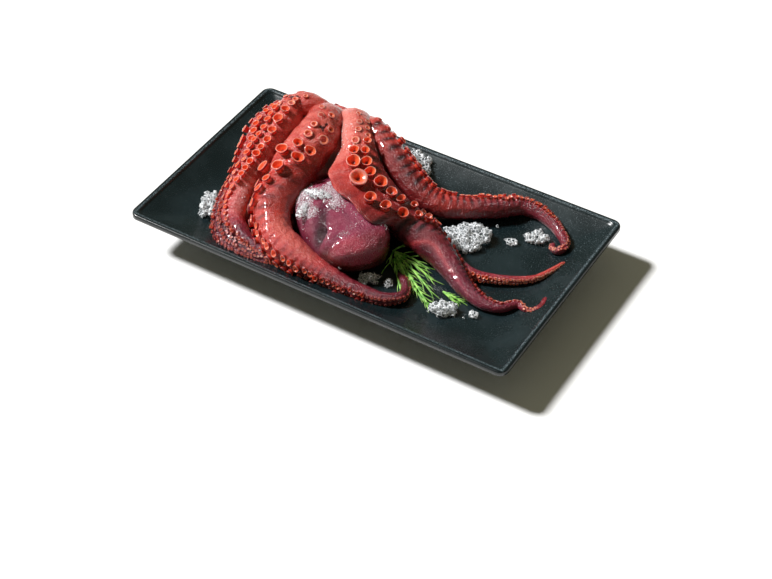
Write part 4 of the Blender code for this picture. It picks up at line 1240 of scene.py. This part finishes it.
RIGHT = Arm(
    "right",
    knots=((-72, 79, 50, 12), (-46, 73, 57, 13.5), (-27, 62, 54, 14.5), (-9, 52, 48, 15),
           (8, 45, 40, 14), (25, 42, 32, 13), (44, 44, 26.5, 11.5), (60, 53, 24, 10.5),
           (77, 65, 23, 10.5), (94, 78, 22, 10), (109, 90, 20.5, 8.5), (125, 91, 19, 7),
           (141, 86, 17.5, 6), (155, 77, 16.5, 5), (165, 66, 16, 4.2), (163, 57, 15, 3.6),
           (156, 57, 15, 3), (154, 65, 15, 2.2)),
    oral=((0, (0.3, 0.7, 0.65)), (2, (0.65, 0.65, 0.4)), (5, (0.6, 0.75, 0.25)), (7, (0.1, 0.85, 0.45)),
          (9, (-0.2, 0.45, 0.87)), (11, (0.1, 0.5, 0.86)), (13, (0.7, 0.5, 0.5)), (17, (-0.7, -0.5, 0.2))),
    rows=(((0.09, 26, 2.6), (0.2, 26, 3.6), (0.32, 26, 3.8), (0.42, 24, 3.4), (0.5, 24, 3.0), (0.7, 24, 2.2),
           (0.85, 24, 1.5), (1, 20, 0.8)),
          ((0.10, -24, 2.6), (0.2, -28, 3.6), (0.32, -28, 3.8), (0.42, -26, 3.3), (0.5, -24, 2.8), (0.7, -24, 2.1),
           (0.85, -24, 1.4), (1, -20, 0.8))),
    looks=((0, 0.78, 0.78, 0.6, 0.72, 0.0), (0.12, 0.68, 0.56, 0.42, 0.58, 0.0), (0.3, 0.56, 0.40, 0.34, 0.46, 0.06),
           (0.45, 0.70, 0.60, 0.40, 0.48, 0.06), (0.6, 0.46, 0.38, 0.30, 0.34, 0.18), (0.78, 0.42, 0.36, 0.32, 0.32, 0.32),
           (1, 0.42, 0.40, 0.36, 0.36, 0.32)),
    ridges=((0.05, 0.14, 0.14), (0.2, 0.20, 0.16), (0.34, 0.22, 0.16), (0.46, 0.20, 0.12), (0.56, 0.06, 0.06),
            (1, 0.05, 0.05)), sides=96, seed=13)

THIN = Arm(
    "thin",
    knots=((-76, 84, 42, 11), (-52, 68, 33, 11), (-25, 45, 25, 10), (10, 24, 21, 9.5), (50, 8, 19, 8),
           (91, -7, 17.5, 6), (113, -12, 16.5, 5), (130, -7, 15.5, 4.4), (147, 2, 15, 3.8),
           (161, 14, 14.5, 3.1), (169, 32, 14, 2.5), (174, 48, 13.5, 1.8)),
    oral=((0, (0.3, 0.7, 0.3)), (4, (0.4, -0.7, 0.3)), (11, (0.8, -0.5, 0.2))),
    rows=(((0.1, 22, 2.5), (0.5, 22, 2.4), (0.7, 22, 1.9), (1, 20, 0.6)),
          ((0.1, -22, 2.5), (0.5, -22, 2.4), (0.7, -22, 1.9), (1, -20, 0.6))),
    looks=((0, 0.42, 0.42, 0.42, 0.42, 0.3), (0.6, 0.42, 0.42, 0.42, 0.40, 0.5), (0.80, 0.5, 0.56, 0.56, 0.5, 0.3),
           (0.9, 0.66, 0.74, 0.74, 0.66, 0.1), (1, 0.72, 0.74, 0.74, 0.70, 0.0)),
    ridges=((0.1, 0.03, 0.03), (1, 0.03, 0.03)), sides=48, seed=17)

BACK = Arm(
    "back",
    knots=((-88, 90, 38, 12), (-98, 97, 31, 11.5), (-116, 99, 27, 10.5), (-136, 94, 25, 9),
           (-151, 80, 21, 8), (-155, 62, 19, 7), (-147, 50, 17.5, 6), (-137, 56, 17, 5),
           (-135, 68, 16, 4), (-141, 74, 15.5, 3)),
    oral=((0, (0.0, 1.0, 0.2)), (3, (-0.3, 0.9, 0.3)), (5, (-1.0, 0.2, 0.2)), (8, (0.9, 0.0, 0.2))),
    rows=(((0.1, 24, 3.4), (0.4, 24, 3.0), (0.7, 22, 2.2), (1, 20, 1.0)),
          ((0.12, -24, 3.4), (0.4, -24, 3.0), (0.7, -22, 2.2), (1, -20, 1.0))),
    looks=((0, 0.55, 0.5, 0.5, 0.55, 0.1), (0.5, 0.48, 0.45, 0.45, 0.48, 0.3), (1, 0.42, 0.4, 0.4, 0.42, 0.4)),
    ridges=((0.1, 0.06, 0.06), (1, 0.06, 0.06)), sides=56, seed=19)

UNDER = Arm(
    "under",
    knots=((-106, 84, 42, 12), (-124, 76, 33, 12), (-134, 58, 26, 12), (-134, 34, 24, 12),
           (-130, 10, 23, 11.5), (-124, -14, 22.5, 11), (-110, -36, 22, 10.5), (-90, -46, 21, 9.5),
           (-70, -44, 20, 8), (-56, -34, 19, 6)),
    oral=((0, (-0.6, 0.7, 0.2)), (4, (-0.3, 0.0, -0.9)), (9, (0.0, 0.0, -1.0))),
    rows=(((0.1, 24, 3.2), (1, 22, 2.0)), ((0.12, -24, 3.2), (1, -22, 2.0))),
    looks=((0, 0.45, 0.45, 0.45, 0.45, 0.2), (1, 0.4, 0.4, 0.4, 0.4, 0.3)), sides=48, seed=23)

ARMS = (FAR_LEFT, LEFT, FRONT, MIDDLE, RIGHT, THIN, BACK, UNDER)


# ---------------------------------------------------------------- octopus

def loft(rings: np.ndarray) -> Shape:
    """Return a closed skin through rings of equal length."""
    return Shape.tube(np.asarray(rings))


def ellipsoid(centre: Colour, half: Colour, sides: int = 28) -> Shape:
    """Return an ellipsoid of rings."""
    turn = np.linspace(0.0, math.tau, sides, endpoint=False)
    rings = []
    for angle in np.linspace(-0.47 * math.pi, 0.47 * math.pi, sides // 2):
        ring = np.column_stack([np.cos(turn) * math.cos(angle), np.sin(turn) * math.cos(angle),
                                np.full_like(turn, math.sin(angle))])
        rings.append(np.asarray(centre) + ring * np.asarray(half))
    return loft(rings)


def fused(name: str, shapes: Iterable[Shape], voxel: float, rounds: int) -> Shape:
    """Fuse overlapping shapes into one smooth skin.

    Args:
        name: name for the mesh in the making.
        shapes: the closed shapes.
        voxel: size of the fused skin's faces.
        rounds: how often the skin is relaxed.

    Returns:
        The fused skin.
    """
    mesh = make_mesh(name, Shape.joined(shapes))
    holder = bpy.data.objects.new(name, mesh)
    bpy.context.scene.collection.objects.link(holder)
    remesh = holder.modifiers.new("fuse", "REMESH")
    remesh.mode = "VOXEL"
    remesh.voxel_size = voxel * METRE
    relax = holder.modifiers.new("relax", "SMOOTH")
    relax.factor = 0.5
    relax.iterations = rounds
    graph = bpy.context.evaluated_depsgraph_get()
    made = bpy.data.meshes.new_from_object(holder.evaluated_get(graph))
    bpy.data.objects.remove(holder, do_unlink=True)
    points = np.empty(len(made.vertices) * 3)
    made.vertices.foreach_get("co", points)
    shape = Shape(points.reshape(-1, 3) / METRE, [tuple(face.vertices) for face in made.polygons])
    bpy.data.meshes.remove(made)
    return shape


@dataclass
class Crown:
    """The flesh and webs that join the arms' roots, fused into one skin under the arms."""

    lumps: Sequence[tuple[Colour, Colour]] = (
        ((-91, 74, 43), (30, 17, 20)), ((-92, 56, 40), (38, 28, 22)), ((-104, 34, 34), (34, 34, 22)),
        ((-60, 48, 36), (30, 24, 21)), ((-94, 2, 30), (26, 30, 18)), ((-20, 34, 27), (34, 20, 16)),
        ((-145, 30, 28), (17, 42, 17)), ((-110, -32, 24), (20, 42, 14)), ((-124, 80, 36), (24, 17, 18)),
    )
    webs: Sequence[tuple[Arm, Arm, float, float, float]] = (
        (FAR_LEFT, LEFT, 0.24, 0.24, 9), (LEFT, FRONT, 0.24, 0.24, 12), (FRONT, MIDDLE, 0.30, 0.225, 3),
        (MIDDLE, RIGHT, 0.30, 0.30, 8), (RIGHT, THIN, 0.22, 0.22, 2), (BACK, UNDER, 0.20, 0.20, 2),
        (UNDER, FAR_LEFT, 0.20, 0.20, 2),
    )
    web_half: float = 4.0
    stub_share: float = 0.30
    stub_slack: float = 0.94
    voxel: float = 1.7

    def web(self, first: Arm, second: Arm, first_share: float, second_share: float, sag: float) -> Shape:
        """Return the web between two arms: a thick sheet hung from line to line."""
        lines = []
        for arm, share in ((first, first_share), (second, second_share)):
            stop = max(3, int(len(arm.centres) * share))
            lines.append(arm.centres[np.linspace(0, stop, 14).astype(int)])
        part = np.linspace(0.0, 1.0, 9)
        rings = []
        for a, b in zip(*lines):
            middle = a + np.outer(part, b - a)
            middle[:, 2] -= sag * np.sin(part * math.pi)
            lift = np.array((0.0, 0.0, self.web_half))
            rings.append(np.concatenate([middle + lift, middle[::-1] - lift]))
        return loft(rings)

    def stub(self, arm: Arm) -> Shape:
        """Return the root of an arm, a little slimmer than the arm itself."""
        stop = int(len(arm.centres) * self.stub_share)
        turn = np.linspace(0.0, math.tau, 24, endpoint=False)
        index = np.arange(0, stop, 3)
        ways = arm.ways(np.broadcast_to(turn, (len(index), 24)), index)
        return loft(arm.centres[index][:, None] + ways * (arm.radii[index] * self.stub_slack)[:, None, None])

    def build(self, platter: Platter, finish: bpy.types.Material) -> None:
        """Make the fused crown."""
        shapes = [ellipsoid(*lump) for lump in self.lumps]
        shapes += [self.web(*web) for web in self.webs]
        shapes += [self.stub(arm) for arm in ARMS]
        skin = fused("crown_parts", shapes, self.voxel, 10)
        skin.points[:, 2] = np.maximum(skin.points[:, 2], platter.top(skin.points) + 0.5)
        rough = lattice_noise(skin.points, 9.0, 4)
        # crease here is painted shade, laid at random over the crown.
        skin.marks = {"tone": 0.52 + 0.12 * rough, "plum": 0.14 + 0.1 * rough,
                      "crease": np.clip(0.35 - rough, 0.0, 0.6)}
        hand_over(make_piece("crown", skin, finish), "octopus_skin", ["octopus"])


@dataclass
class Mantle:
    """The bag-like body: a soft sack that spreads where it rests, with a blunt, steep front.

    spine is (x, y, z, half width, half height) from the neck to the front.
    """

    spine: Knots = ((-96, 42, 30, 18, 12), (-82, 22, 30, 20, 12), (-62, -2, 30, 26, 14), (-44, -18, 34, 31, 21),
                    (-22, -32, 35, 36, 23), (-5, -42, 34, 36.5, 23), (8, -51, 32.5, 34.5, 22), (17.5, -59, 30.5, 29, 20),
                    (23.5, -64.5, 28, 20, 14), (26, -67, 27, 9, 6))
    top_shape: float = 0.62
    foot_shape: float = 0.50
    tilt: float = 0.19
    folds: Sequence[tuple[Sequence[float], Sequence[float], float, float]] = (
        ((-28, -46), (-17, -68), 3.6, 5.5), ((-17, -68), (-14, -92), 4.6, 4.0), ((-32, -40), (-12, -40), 1.6, 1.8),
        ((-10, -40), (6, -46), 1.2, 2.4), ((-50, -40), (-38, -64), 2.2, 4.0), ((2, -66), (-5, -86), 1.0, 3.0),
    )
    sides: int = 160
    step: float = 1.0

    def skin(self, platter: Platter) -> Shape:
        """Return the mantle's skin with its folds and colour numbers."""
        path = smooth_path(self.spine, self.step, soften=1.5)
        along = unit(np.gradient(path[:, :3], axis=0))
        side = unit(np.cross(along, (0.0, 0.0, 1.0)))
        up = np.cross(side, along)
        turn = np.linspace(0.0, math.tau, self.sides, endpoint=False)
        power = np.where(np.sin(turn) < 0.0, self.foot_shape, self.top_shape)
        wide = np.sign(np.cos(turn)) * np.abs(np.cos(turn)) ** power
        high = np.sign(np.sin(turn)) * np.abs(np.sin(turn)) ** power * (1.0 - self.tilt * wide * (np.sin(turn) > 0.0))
        out = side[:, None] * (wide * path[:, 3:4])[..., None] + up[:, None] * (high * path[:, 4:5])[..., None]
        points = path[:, None, :3] + out
        way = unit(out)
        share = (np.arange(len(path)) / (len(path) - 1))[:, None]
        sunk = self._folds(points) * ease(way[..., 2] * 2.0)
        dent = lattice_noise(points, 22.0, 31) * 1.1 + lattice_noise(points, 7.0, 33) * 0.45 - sunk
        points = points + way * (dent + lattice_noise(points, 3.0, 35) * 0.42 + lattice_noise(points, 1.6, 36) * 0.24)[..., None]
        points[..., 2] = np.maximum(points[..., 2], platter.top(points) + 0.4)
        return Shape.tube(points, self._marks(points, way, share, sunk))

    def _folds(self, points: np.ndarray) -> np.ndarray:
        """Return how far the skin sinks at its folds."""
        flat, sunk = points[..., :2], np.zeros(points.shape[:-1])
        for start, stop, depth, width in self.folds:
            start, line = np.array(start, dtype=float), np.subtract(stop, start).astype(float)
            part = np.clip((flat - start) @ line / (line @ line), 0.0, 1.0)
            away = np.linalg.norm(flat - start - part[..., None] * line, axis=-1)
            sunk += depth * np.exp(-(away / width) ** 2)
        return sunk

    @staticmethod
    def _marks(points: np.ndarray, way: np.ndarray, share: np.ndarray, sunk: np.ndarray) -> dict[str, np.ndarray]:
        """Return the colour numbers: plum and frosted on top, brick red on the front, painted shade in the folds."""
        top = ease((way[..., 2] - 0.05) / 0.6)
        front = ease((share - 0.86) / 0.06) * (1.0 - 0.5 * top)
        cloud = lattice_noise(points, 15.0, 37)
        tone = 0.32 + 0.20 * top + 0.12 * cloud - 0.02 * front
        plum = np.clip(0.85 - 0.75 * front + 0.1 * cloud - 0.25 * (1.0 - top), 0.0, 1.0)
        cover = top * (1.0 - ease((share - 0.82) / 0.08)) * ease((share - 0.35) / 0.1) * (0.45 + 1.9 * cloud)
        cover = cover - sunk * 0.2
        # crease is painted shade in the folds.
        return {"tone": tone, "plum": plum, "crease": np.clip(sunk * 0.3, 0.0, 1.0), "cover": np.clip(cover, 0.0, 1.0)}

    def build(self, platter: Platter, finish: bpy.types.Material) -> Shape:
        """Make the mantle and return its skin for the frost."""
        skin = self.skin(platter)
        hand_over(make_piece("mantle", skin, finish), "octopus_skin", ["octopus"])
        return skin


@dataclass
class Mouth:
    """The mouth on the far side of the crown: a puckered lip round the tip of the beak."""

    centre: Colour = (-92.0, 84.0, 46.0)
    way: Colour = (-0.05, 0.78, 0.62)
    lift: float = 7.0
    radius: float = 9.0
    puckers: int = 22

    def build(self, finish: bpy.types.Material, beak: bpy.types.Material) -> None:
        """Make the lip and the beak."""
        axis = unit(self.way)
        side = unit(np.cross(axis, (0.31, 0.92, 0.24)))
        other = np.cross(axis, side)
        turn = np.linspace(0.0, math.tau, 132, endpoint=False)
        profile = ((1.15, -0.9), (1.12, -0.3), (1.08, 0.15), (0.98, 0.42), (0.82, 0.50), (0.64, 0.44),
                   (0.48, 0.26), (0.38, 0.02), (0.32, -0.3))
        circle = np.outer(np.cos(turn), side) + np.outer(np.sin(turn), other)
        root = np.asarray(self.centre) + axis * self.lift
        rings = []
        for wide, high in profile:
            pleat = 1.0 + 0.05 * np.cos(self.puckers * turn) * (1.2 - wide)
            rings.append(root + circle * (self.radius * wide * pleat)[:, None] + axis * self.radius * high)
        lip = loft(rings)
        lip.marks = {"tone": np.full(len(lip.points), 0.66), "plum": np.full(len(lip.points), 0.1),
                     "crease": np.zeros(len(lip.points))}
        hand_over(make_piece("mouth", lip, finish), "octopus_skin", ["octopus"])
        hook = []
        for share in np.linspace(0.0, 1.0, 9):
            size = self.radius * 0.36 * (1.0 - share) ** 0.6 + 0.15
            bend = side * (share**2 * 1.6)
            hook.append(root + axis * (share * 5.2 - 2.4) + bend + circle[::6] * size)
        hand_over(make_piece("beak", loft(hook), beak), "octopus_skin", ["octopus"])


@dataclass
class Octopus:
    """The whole animal: arms with their suckers, crown, mantle and mouth."""

    platter: Platter
    finish: SkinFinish = SkinFinish()
    crown: Crown = field(default_factory=Crown)
    mantle: Mantle = field(default_factory=Mantle)
    mouth: Mouth = field(default_factory=Mouth)

    def build(self, place_parts: GeometryTree) -> dict[str, Shape]:
        """Make every piece of the octopus.

        Args:
            place_parts: the tree that puts suckers on their points.

        Returns:
            The skins that frost lies on, by name.
        """
        skin = self.finish.build("octopus_skin")
        cups = CupFinish().build("sucker_skin")
        self.crown.build(self.platter, skin)
        frosted = {"mantle": self.mantle.build(self.platter, SkinFinish().build("mantle_skin", 0.06, 1.3))}
        self.mouth.build(skin, self._beak())
        forms = parts_collection("cup", [CUP_FORMS[form].shape() for form in Cup])
        for arm in ARMS:
            body = arm.surface()
            body.points[:, 2] = np.maximum(body.points[:, 2], self.platter.top(body.points) + 0.4)
            hand_over(make_piece(f"arm_{arm.name}", body, skin), "octopus_skin", ["octopus"])
            frosted[arm.name] = body
            seeds = arm.seeds()
            points = seed_points(f"cups_{arm.name}", seeds["place"], euler_rows(seeds["x"], seeds["z"]),
                                 seeds["size"], seeds["kind"], {"tone": seeds["tone"]})
            piece = place_parts.run(f"suckers_{arm.name}", points, {"Parts": forms, "Finish": cups})
            hand_over(piece, "octopus_skin", ["octopus"])
        drop_parts(forms)
        return frosted

    @staticmethod
    def _beak() -> bpy.types.Material:
        """Return the beak's dark horn."""
        material, tree = new_material("beak_horn")
        colour = tree.mix(tree.noise(2.0), (0.012, 0.006, 0.004), (0.060, 0.028, 0.016))
        tree.surface(tree.add("ShaderNodeBsdfPrincipled", {}, {
            "Base Color": colour, "Roughness": 0.25, "Coat Weight": 0.3,
            "Normal": tree.bump(tree.noise(1.0), 0.2, 0.2)}))
        return material


# ---------------------------------------------------------------- ice

def chip_shapes(seed: int, count: int, faces: int, rough: float) -> list[Shape]:
    """Return uneven grains about one millimetre in radius.

    Args:
        seed: which grains.
        count: how many forms.
        faces: subdivision of the ball that they start from.
        rough: how uneven they are.

    Returns:
        The grains.
    """
    random = np.random.default_rng(seed)
    shapes = []
    for _ in range(count):
        ball = bmesh.new()
        bmesh.ops.create_icosphere(ball, subdivisions=faces, radius=1.0)
        points = np.array([vert.co for vert in ball.verts])
        corners = [tuple(vert.index for vert in face.verts) for face in ball.faces]
        ball.free()
        cut = unit(random.normal(size=(7, 3)))
        for way in cut:
            over = np.maximum(points @ way - random.uniform(0.55, 0.85), 0.0)
            points = points - over[:, None] * way
        points *= random.uniform(0.65, 1.25, 3)
        points *= 1.0 + rough * random.uniform(-1.0, 1.0, (len(points), 1))
        shapes.append(Shape(points, corners))
    return shapes


@dataclass(frozen=True)
class IceHeap:
    """A heap of crushed ice that takes the place of one solid."""

    node: str
    grains: float = 1.0
    smallest: float = 1.3
    largest: float = 5.0
    seed: int = 1

    def core(self) -> Shape:
        """Return the solid's own form, a little smaller, for the grains to sit on."""
        solid = bmesh.new()
        solid.from_mesh(frame["nodes"][self.node].data)
        bmesh.ops.remove_doubles(solid, verts=solid.verts, dist=0.00002)
        bmesh.ops.subdivide_edges(solid, edges=solid.edges, cuts=1, use_grid_fill=True)
        bmesh.ops.triangulate(solid, faces=solid.faces)
        solid.verts.index_update()
        points = np.array([vert.co for vert in solid.verts]) / METRE - (0.0, 0.0, FOOT_DROP)
        faces = [tuple(vert.index for vert in face.verts) for face in solid.faces]
        solid.free()
        foot = np.array((*points[:, :2].mean(axis=0), points[:, 2].min()))
        points = foot + (points - foot) * np.array((0.78, 0.78, 0.66))
        points += lattice_noise(points, 3.5, self.seed)[:, None] * np.array((0.5, 0.5, 0.35))
        points[:, 2] = np.maximum(points[:, 2], foot[2])
        return Shape(points, faces, {"cover": np.ones(len(points))})

    def build(self, sprinkle: GeometryTree, chips: bpy.types.Collection, ice: bpy.types.Material) -> None:
        """Make the heap's core and its grains."""
        core = self.core()
        hand_over(make_piece(f"{self.node}_core", core, ice), "ice", [self.node])
        grains = sprinkle.run(f"{self.node}_grains", make_mesh(f"{self.node}_bed", core), {
            "Parts": chips, "Each Square Metre": 62000.0 * self.grains, "Smallest": self.smallest,
            "Largest": self.largest, "Seed": self.seed, "Finish": ice})
        hand_over(grains, "ice", [self.node])


@dataclass
class Ice:
    """All crushed ice: the heaps, loose grains and the frost on the skin."""

    heaps: Sequence[IceHeap] = (
        IceHeap("ice_left", seed=1), IceHeap("ice_back", seed=2), IceHeap("ice_middle", seed=3),
        IceHeap("ice_small", 0.8, 0.9, 2.2, seed=4), IceHeap("ice_right", seed=5),
        IceHeap("ice_front", seed=6), IceHeap("ice_front_small", 0.9, 0.8, 2.0, seed=7),
        IceHeap("ice_corner", seed=8), IceHeap("ice_corner_small", 0.9, 0.8, 2.0, seed=9),
        IceHeap("ice_neck", 1.0, 0.7, 1.8, seed=10), IceHeap("ice_fold", 1.0, 0.7, 1.8, seed=11),
    )
    loose: Sequence[tuple[float, float, float, float]] = (
        (4, 62, 42, 2.6), (10, 60, 41, 2.0), (-6, 64, 44, 1.8), (27, 57, 38, 2.8), (31, 53, 36, 2.2),
        (24, 53, 38, 2.0), (34, 57, 33, 1.6), (-28, -42, 62.5, 2.4), (12, -80, 29, 2.2),
        (52, 52, 33, 2.6), (56, 54, 32, 2.0), (60, 57, 31, 2.2), (131, -63, 13, 1.4), (97, 60, 13, 1.8),
    )

    def build(self, place: GeometryTree, sprinkle: GeometryTree, skins: dict[str, Shape]) -> None:
        """Make all the ice.

        Args:
            place: the tree that puts parts on points.
            sprinkle: the tree that strews parts over a surface.
            skins: the octopus's skins that carry frost, by name.
        """
        ice = IceFinish().build("crushed_ice")
        rime = IceFinish().build("frost_grains", 0.95)
        chips = parts_collection("chip", chip_shapes(51, 6, 1, 0.20))
        for heap in self.heaps:
            heap.build(sprinkle, chips, ice)
        rows = np.asarray(self.loose)
        random = np.random.default_rng(91)
        turns = random.uniform(0.0, math.tau, (len(rows), 3))
        sizes = rows[:, 3:] * random.uniform(0.8, 1.2, (len(rows), 3))
        points = seed_points("loose_bed", rows[:, :3], turns, sizes, np.arange(len(rows)) % 6)
        hand_over(place.run("ice_loose", points, {"Parts": chips, "Finish": ice}), "ice", [])
        drop_parts(chips)
        crumbs = parts_collection("crumb", chip_shapes(53, 6, 1, 0.16))
        for name, skin in skins.items():
            dense = 520000.0 if name == "mantle" else 300000.0
            if float(skin.marks["cover"].max()) < 0.05:
                continue
            frost = sprinkle.run(f"frost_{name}", make_mesh(f"{name}_bed", skin), {
                "Parts": crumbs, "Each Square Metre": dense, "Smallest": 0.22, "Largest": 0.75,
                "Seed": 17, "Finish": rime})
            hand_over(frost, "ice", [])
        drop_parts(crumbs)


# ---------------------------------------------------------------- dill

def stem_tree() -> GeometryTree:
    """Return the tree that turns lines into round stems of the thickness they carry."""
    tree = GeometryTree("round_stems", {"Finish": SocketKind.FINISH})
    curve = tree.add("GeometryNodeMeshToCurve", {}, {"Mesh": tree.given("Geometry")})
    thick = tree.add("GeometryNodeSetCurveRadius", {}, {"Curve": curve, "Radius": tree.field("thick")})
    ring = tree.add("GeometryNodeCurvePrimitiveCircle", {}, {"Resolution": 6, "Radius": METRE})
    tube = tree.add("GeometryNodeCurveToMesh", {}, {"Curve": thick, "Profile Curve": ring, "Fill Caps": True})
    tree.finish(tube)
    return tree


def thread_shapes(count: int, seed: int) -> list[Shape]:
    """Return bent, tapering threads one millimetre long that start at the origin along +X."""
    random = np.random.default_rng(seed)
    shapes = []
    for _ in range(count):
        at = np.linspace(0.0, 1.0, 6)
        sway = random.uniform(-0.16, 0.16) * np.sin(at * math.pi) + random.uniform(-0.2, 0.2) * at**2
        rise = random.uniform(-0.05, 0.12) * np.sin(at * math.pi)
        thick = 0.5 * (1.0 - at) ** 0.45 + 0.06
        turn = np.linspace(0.0, math.tau, 5, endpoint=False)
        rings = np.stack([np.column_stack([np.full(5, x), y + r * np.cos(turn), z + r * np.sin(turn)])
                          for x, y, z, r in zip(at, sway, rise, thick * 0.11)])
        shapes.append(Shape.tube(rings, {"reach": np.broadcast_to(at[:, None], (6, 5))}))
    return shapes


@dataclass(frozen=True)
class Sprig:
    """A piece of dill: ribs from its root to the tip of each, and threads along the ribs."""

    node: str
    ribs: Sequence[tuple[Colour, Colour, Colour]]
    thread: tuple[float, float]
    spacing: float = 2.0
    thick: float = 0.42
    seed: int = 1

    def lines(self) -> list[np.ndarray]:
        """Return each rib as points along a bent line."""
        at = np.linspace(0.0, 1.0, 14)[:, None]
        return [(1 - at) ** 2 * np.array(a) + 2 * at * (1 - at) * np.array(b) + at**2 * np.array(c)
                for a, b, c in self.ribs]

    def build(self, place: GeometryTree, stems: GeometryTree, threads: bpy.types.Collection,
              finish: bpy.types.Material) -> None:
        """Make the ribs and their threads."""
        random = np.random.default_rng(self.seed)
        lines = self.lines()
        mesh = bpy.data.meshes.new(f"{self.node}_lines")
        edges = [(14 * rib + i, 14 * rib + i + 1) for rib in range(len(lines)) for i in range(13)]
        mesh.from_pydata((np.concatenate(lines) * METRE).tolist(), edges, [])
        for label, values in (("thick", self.thick * np.tile(1.0 - 0.6 * np.linspace(0, 1, 14), len(lines))),
                              ("reach", np.tile(np.linspace(0.0, 0.7, 14), len(lines)))):
            attribute = mesh.attributes.new(label, "FLOAT", "POINT")
            attribute.data.foreach_set("value", values.astype(np.float32))
        hand_over(stems.run(f"{self.node}_ribs", mesh, {"Finish": finish}), "dill", [self.node])
        places, x_rows, z_rows, sizes = [], [], [], []
        for line in lines:
            path = smooth_path(line, self.spacing)
            along = unit(np.gradient(path, axis=0))
            for number in range(1, len(path)):
                for sign in (-1.0, 1.0):
                    up = unit(np.array((0.0, 0.0, 1.0)) + random.normal(0.0, 0.12, 3))
                    side = unit(np.cross(up, along[number])) * sign
                    way = unit(along[number] + side * random.uniform(0.12, 0.55) + up * random.uniform(-0.05, 0.16))
                    length = random.uniform(*self.thread)
                    places.append(path[number])
                    x_rows.append(way)
                    z_rows.append(unit(np.cross(way, np.cross(up, way))))
                    sizes.append((length, *random.uniform(6.5, 10.0, 2)))
        points = seed_points(f"{self.node}_points", np.array(places),
                             euler_rows(np.array(x_rows), np.array(z_rows)), np.array(sizes),
                             random.integers(0, 5, len(places)))
        hand_over(place.run(f"{self.node}_threads", points, {"Parts": threads, "Finish": finish}),
                  "dill", [self.node])


@dataclass
class Dill:
    """The sprig of dill and the loose tip beside it."""

    sprigs: Sequence[Sprig] = (
        Sprig("dill_sprig", (
            ((33, -23, 15), (37, -16, 20), (44, -11, 18)), ((34, -24, 15), (35, -30, 17), (38, -36, 14)),
            ((36, -24, 17), (54, -24, 20), (66, -24, 14)), ((37, -26, 18), (60, -30, 20), (80, -35, 14)),
            ((38, -27, 18), (66, -38, 19), (88, -49, 14)), ((38, -28, 17), (68, -46, 18), (93, -63, 12.6)),
            ((40, -31, 16), (64, -50, 17), (89, -62, 12.6)), ((40, -32, 16), (50, -46, 17), (64, -60, 13)),
            ((38, -27, 17), (52, -40, 19), (66, -50, 15)),
        ), (9.0, 18.0), 7.5, 0.8, 5),
        Sprig("dill_tip", (
            ((98, -42.5, 12.3), (107, -44.5, 14.5), (119, -45, 12.1)),
            ((99, -42.8, 12.3), (106, -47, 14), (114, -48, 12.1)),
        ), (5.0, 8.0), 3.5, 0.55, 7),
    )

    def build(self, place: GeometryTree) -> None:
        """Make both pieces of dill."""
        finish = DillFinish().build("dill_green")
        stems = stem_tree()
        threads = parts_collection("thread", thread_shapes(5, 61))
        for sprig in self.sprigs:
            sprig.build(place, stems, threads, finish)
        drop_parts(threads)


# ---------------------------------------------------------------- studio

@dataclass(frozen=True)
class Studio:
    """A pale floor, one soft sun, a dim warm sky and the camera."""

    aim: Colour = (59.2, -77.5, 24.0 + FOOT_DROP)
    azimuth: float = 31.56
    elevation: float = 43.53
    distance: float = 1626.0
    lens: float = 85.0
    sun_azimuth: float = 13.0
    sun_elevation: float = 48.0
    sun_strength: float = 5.3
    sun_spread: float = 9.0
    sky: Colour = (1.0, 0.95, 0.66)
    sky_strength: float = 0.13

    def build(self) -> None:
        """Set the stage."""
        self._floor()
        self._camera()
        self._sun()
        world = bpy.data.worlds.new("studio")
        world.use_nodes = True
        background = world.node_tree.nodes["Background"]
        background.inputs["Color"].default_value = (*self.sky, 1.0)
        background.inputs["Strength"].default_value = self.sky_strength
        bpy.context.scene.world = world
        bpy.context.scene.view_settings.view_transform = "Standard"

    def _floor(self, half: float = 4000.0) -> None:
        """Lay the floor."""
        corners = np.array([(-half, -half, 0), (half, -half, 0), (half, half, 0), (-half, half, 0)], dtype=float)
        material, tree = new_material("floor_paper")
        tree.surface(tree.add("ShaderNodeBsdfPrincipled", {}, {
            "Base Color": (0.90, 0.90, 0.90, 1.0), "Roughness": 0.9, "Specular IOR Level": 0.0}))
        make_piece("floor", Shape(corners, [(0, 1, 2, 3)]), material)

    def _camera(self) -> None:
        """Stand the camera."""
        azimuth, elevation = math.radians(self.azimuth), math.radians(self.elevation)
        back = Vector((math.sin(azimuth) * math.cos(elevation), -math.cos(azimuth) * math.cos(elevation),
                       math.sin(elevation)))
        data = bpy.data.cameras.new("camera")
        data.lens = self.lens
        data.sensor_width = 36.0
        camera = bpy.data.objects.new("camera", data)
        camera.location = (Vector(self.aim) + back * self.distance) * METRE
        camera.rotation_euler = back.to_track_quat("Z", "Y").to_euler()
        bpy.context.scene.collection.objects.link(camera)
        bpy.context.scene.camera = camera

    def _sun(self) -> None:
        """Hang the sun."""
        azimuth, elevation = math.radians(self.sun_azimuth), math.radians(self.sun_elevation)
        travel = Vector((math.cos(azimuth) * math.cos(elevation), math.sin(azimuth) * math.cos(elevation),
                         -math.sin(elevation)))
        data = bpy.data.lights.new("sun", "SUN")
        data.energy = self.sun_strength
        data.angle = math.radians(self.sun_spread)
        sun = bpy.data.objects.new("sun", data)
        sun.rotation_euler = travel.to_track_quat("-Z", "Y").to_euler()
        bpy.context.scene.collection.objects.link(sun)


def main() -> None:
    """Build the platter, the octopus, the ice and the dill, and set the stage."""
    logging.basicConfig(level=logging.INFO, format="%(message)s")
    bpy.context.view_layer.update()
    platter = Platter()
    platter.build()
    place = placing_tree()
    skins = Octopus(platter).build(place)
    Ice().build(place, sprinkling_tree(), skins)
    Dill().build(place)
    Studio().build()


if __name__ == "__main__":
    main()
